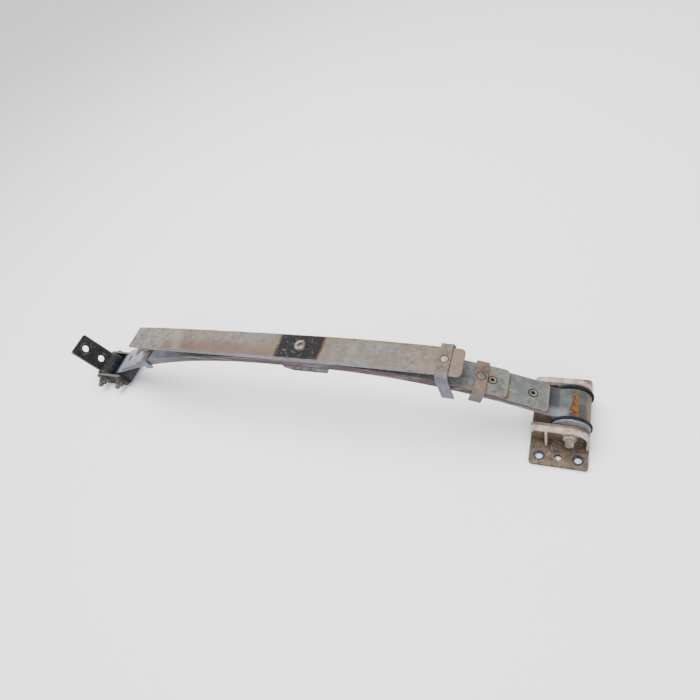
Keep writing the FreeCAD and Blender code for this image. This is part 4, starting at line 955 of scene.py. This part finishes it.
class SPRING_OT_shackle(Operator):
    """Finish the shackle plates, the strap bracket, their rubbers and sleeves"""
    bl_idname = "leaf_spring.shackle"
    bl_label = "Finish the Shackle"

    def execute(self, context):
        c = colours()
        steel = charcoal_material("shackle_plate_paint", 81.0)
        p = steel.paint
        steel.lay(p.z.rise(-0.1475, -0.1460) * 0.75, tone(c.scale_grey, 0.95), 0.55, 0.2)
        steel.rust(p.z.rise(-0.165, -0.185), tone(c.rust_brown, 0.8), 0.35, 2.0)
        for joint in ("rear_eye_pivot", "bracket_eye_pivot"):
            eye = joint_place(joint)
            away = distance(p.x - eye.x, p.z - eye.z)
            steel.lay(away.between(0.0125, 0.0160, 0.0012) * 0.6, tone(c.scale_grey, 0.8), 0.5, 0.3)
        paint = steel.done(0.0004, 0.6)
        dress("shackle_near_plate", paint)
        dress("shackle_far_plate", paint)
        dress("rear_bracket", strap_material())
        rubber = rubber_material("shackle_rubber_black", 85.0, c.rubber_black)
        dress("rear_eye_rubbers", rubber)
        dress("bracket_eye_rubbers", rubber)
        sleeve = zinc_material("shackle_sleeve_steel", 86.0, c.bolt_dark, tone(c.bolt_dark, 0.5), 0.3)
        dress("rear_eye_inner_sleeve", sleeve)
        dress("bracket_eye_inner_sleeve", sleeve)
        return {"FINISHED"}


# ---- stage ----
FLOOR_GAP = 0.0005                        # between the floor and the lowest piece
LAMPS_AIM = Vector((0, 0, -0.1))
CAMERA_PLACE = Vector((0.50873, -0.50961, 0.75313))
CAMERA_TURN = Matrix(((0.91279, -0.06558, 0.40313),
                      (0.28488, 0.80951, -0.51336),
                      (-0.29267, 0.58343, 0.75760)))


class SPRING_OT_stage(Operator):
    """Set the pale floor, the soft lights and the camera"""
    bl_idname = "leaf_spring.stage"
    bl_label = "Set the Stage"

    def execute(self, context):
        scene = context.scene
        settings = scene.spring_stage
        clear_selection()
        floor_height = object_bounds()[0].z - FLOOR_GAP
        steps = settings.floor_steps
        bpy.ops.mesh.primitive_grid_add(x_subdivisions=steps, y_subdivisions=steps, size=settings.floor_size,
                                        location=(0, 0, floor_height))
        floor = bpy.context.object
        floor.name = "pale_floor"
        bake_place(floor)
        paint = Paint("floor_white", 91.0)
        cloud = paint.noise(3.0, 3.0, 0.5)
        tint = paint.over(cloud, (0.93, 0.93, 0.93), (0.95, 0.95, 0.95))
        floor.data.materials.append(paint.set(tint, 0.85))
        floor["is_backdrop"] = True

        world = bpy.data.worlds.new("even_sky")
        world.use_nodes = True
        world.node_tree.nodes["Background"].inputs["Color"].default_value = (1.0, 1.0, 1.0, 1.0)
        world.node_tree.nodes["Background"].inputs["Strength"].default_value = settings.sky
        scene.world = world

        lamps = (("overhead_light", settings.key_power, 2.2, Vector((-0.3, 0.5, 2.3))),
                 ("near_side_light", settings.side_power, 1.6, Vector((0.9, -2.0, 1.3))))
        for name, power, size, place in lamps:
            lamp = bpy.data.lights.new(name, "AREA")
            lamp.energy = power
            lamp.shape = "DISK"
            lamp.size = size
            holder = bpy.data.objects.new(name, lamp)
            scene.collection.objects.link(holder)
            holder.location = place
            holder.rotation_euler = (LAMPS_AIM - place).to_track_quat("-Z", "Y").to_euler()

        lens = bpy.data.cameras.new("catalogue_camera")
        lens.sensor_fit = "HORIZONTAL"
        lens.sensor_width = 36.0
        lens.lens = settings.focal
        lens.clip_start = 0.01
        lens.clip_end = 100.0
        camera = bpy.data.objects.new("catalogue_camera", lens)
        scene.collection.objects.link(camera)
        camera.matrix_world = Matrix.Translation(CAMERA_PLACE) @ CAMERA_TURN.to_4x4()
        scene.camera = camera
        return {"FINISHED"}


# ---- panel and registration ----
OPERATORS = (SPRING_OT_leaves, SPRING_OT_clips, SPRING_OT_liners, SPRING_OT_fasteners, SPRING_OT_spacer,
             SPRING_OT_front_bush, SPRING_OT_hanger, SPRING_OT_shackle, SPRING_OT_stage)


class SPRING_PT_tools(Panel):
    """Lists the steps that finish the spring"""
    bl_idname = "SPRING_PT_tools"
    bl_label = "Worn Leaf Spring"
    bl_space_type = "VIEW_3D"
    bl_region_type = "UI"
    bl_category = "Leaf Spring"

    def draw(self, context):
        layout = self.layout
        for operator in OPERATORS:
            layout.operator(operator.bl_idname)
        for group in (context.scene.spring_colours, context.scene.spring_sizes, context.scene.spring_stage):
            box = layout.box()
            for name in group.__annotations__:
                box.prop(group, name)


CLASSES = (SpringColours, SpringSizes, StageSettings, *OPERATORS, SPRING_PT_tools)


def register():
    for item in CLASSES:
        bpy.utils.register_class(item)
    bpy.types.Scene.spring_colours = PointerProperty(type=SpringColours)
    bpy.types.Scene.spring_sizes = PointerProperty(type=SpringSizes)
    bpy.types.Scene.spring_stage = PointerProperty(type=StageSettings)


def unregister():
    del bpy.types.Scene.spring_stage
    del bpy.types.Scene.spring_sizes
    del bpy.types.Scene.spring_colours
    for item in reversed(CLASSES):
        bpy.utils.unregister_class(item)


def main():
    register()
    bpy.ops.leaf_spring.leaves()
    bpy.ops.leaf_spring.clips()
    bpy.ops.leaf_spring.liners()
    bpy.ops.leaf_spring.fasteners()
    bpy.ops.leaf_spring.spacer()
    bpy.ops.leaf_spring.front_bush()
    bpy.ops.leaf_spring.hanger()
    bpy.ops.leaf_spring.shackle()
    bpy.ops.leaf_spring.stage()


if __name__ == "__main__":
    main()
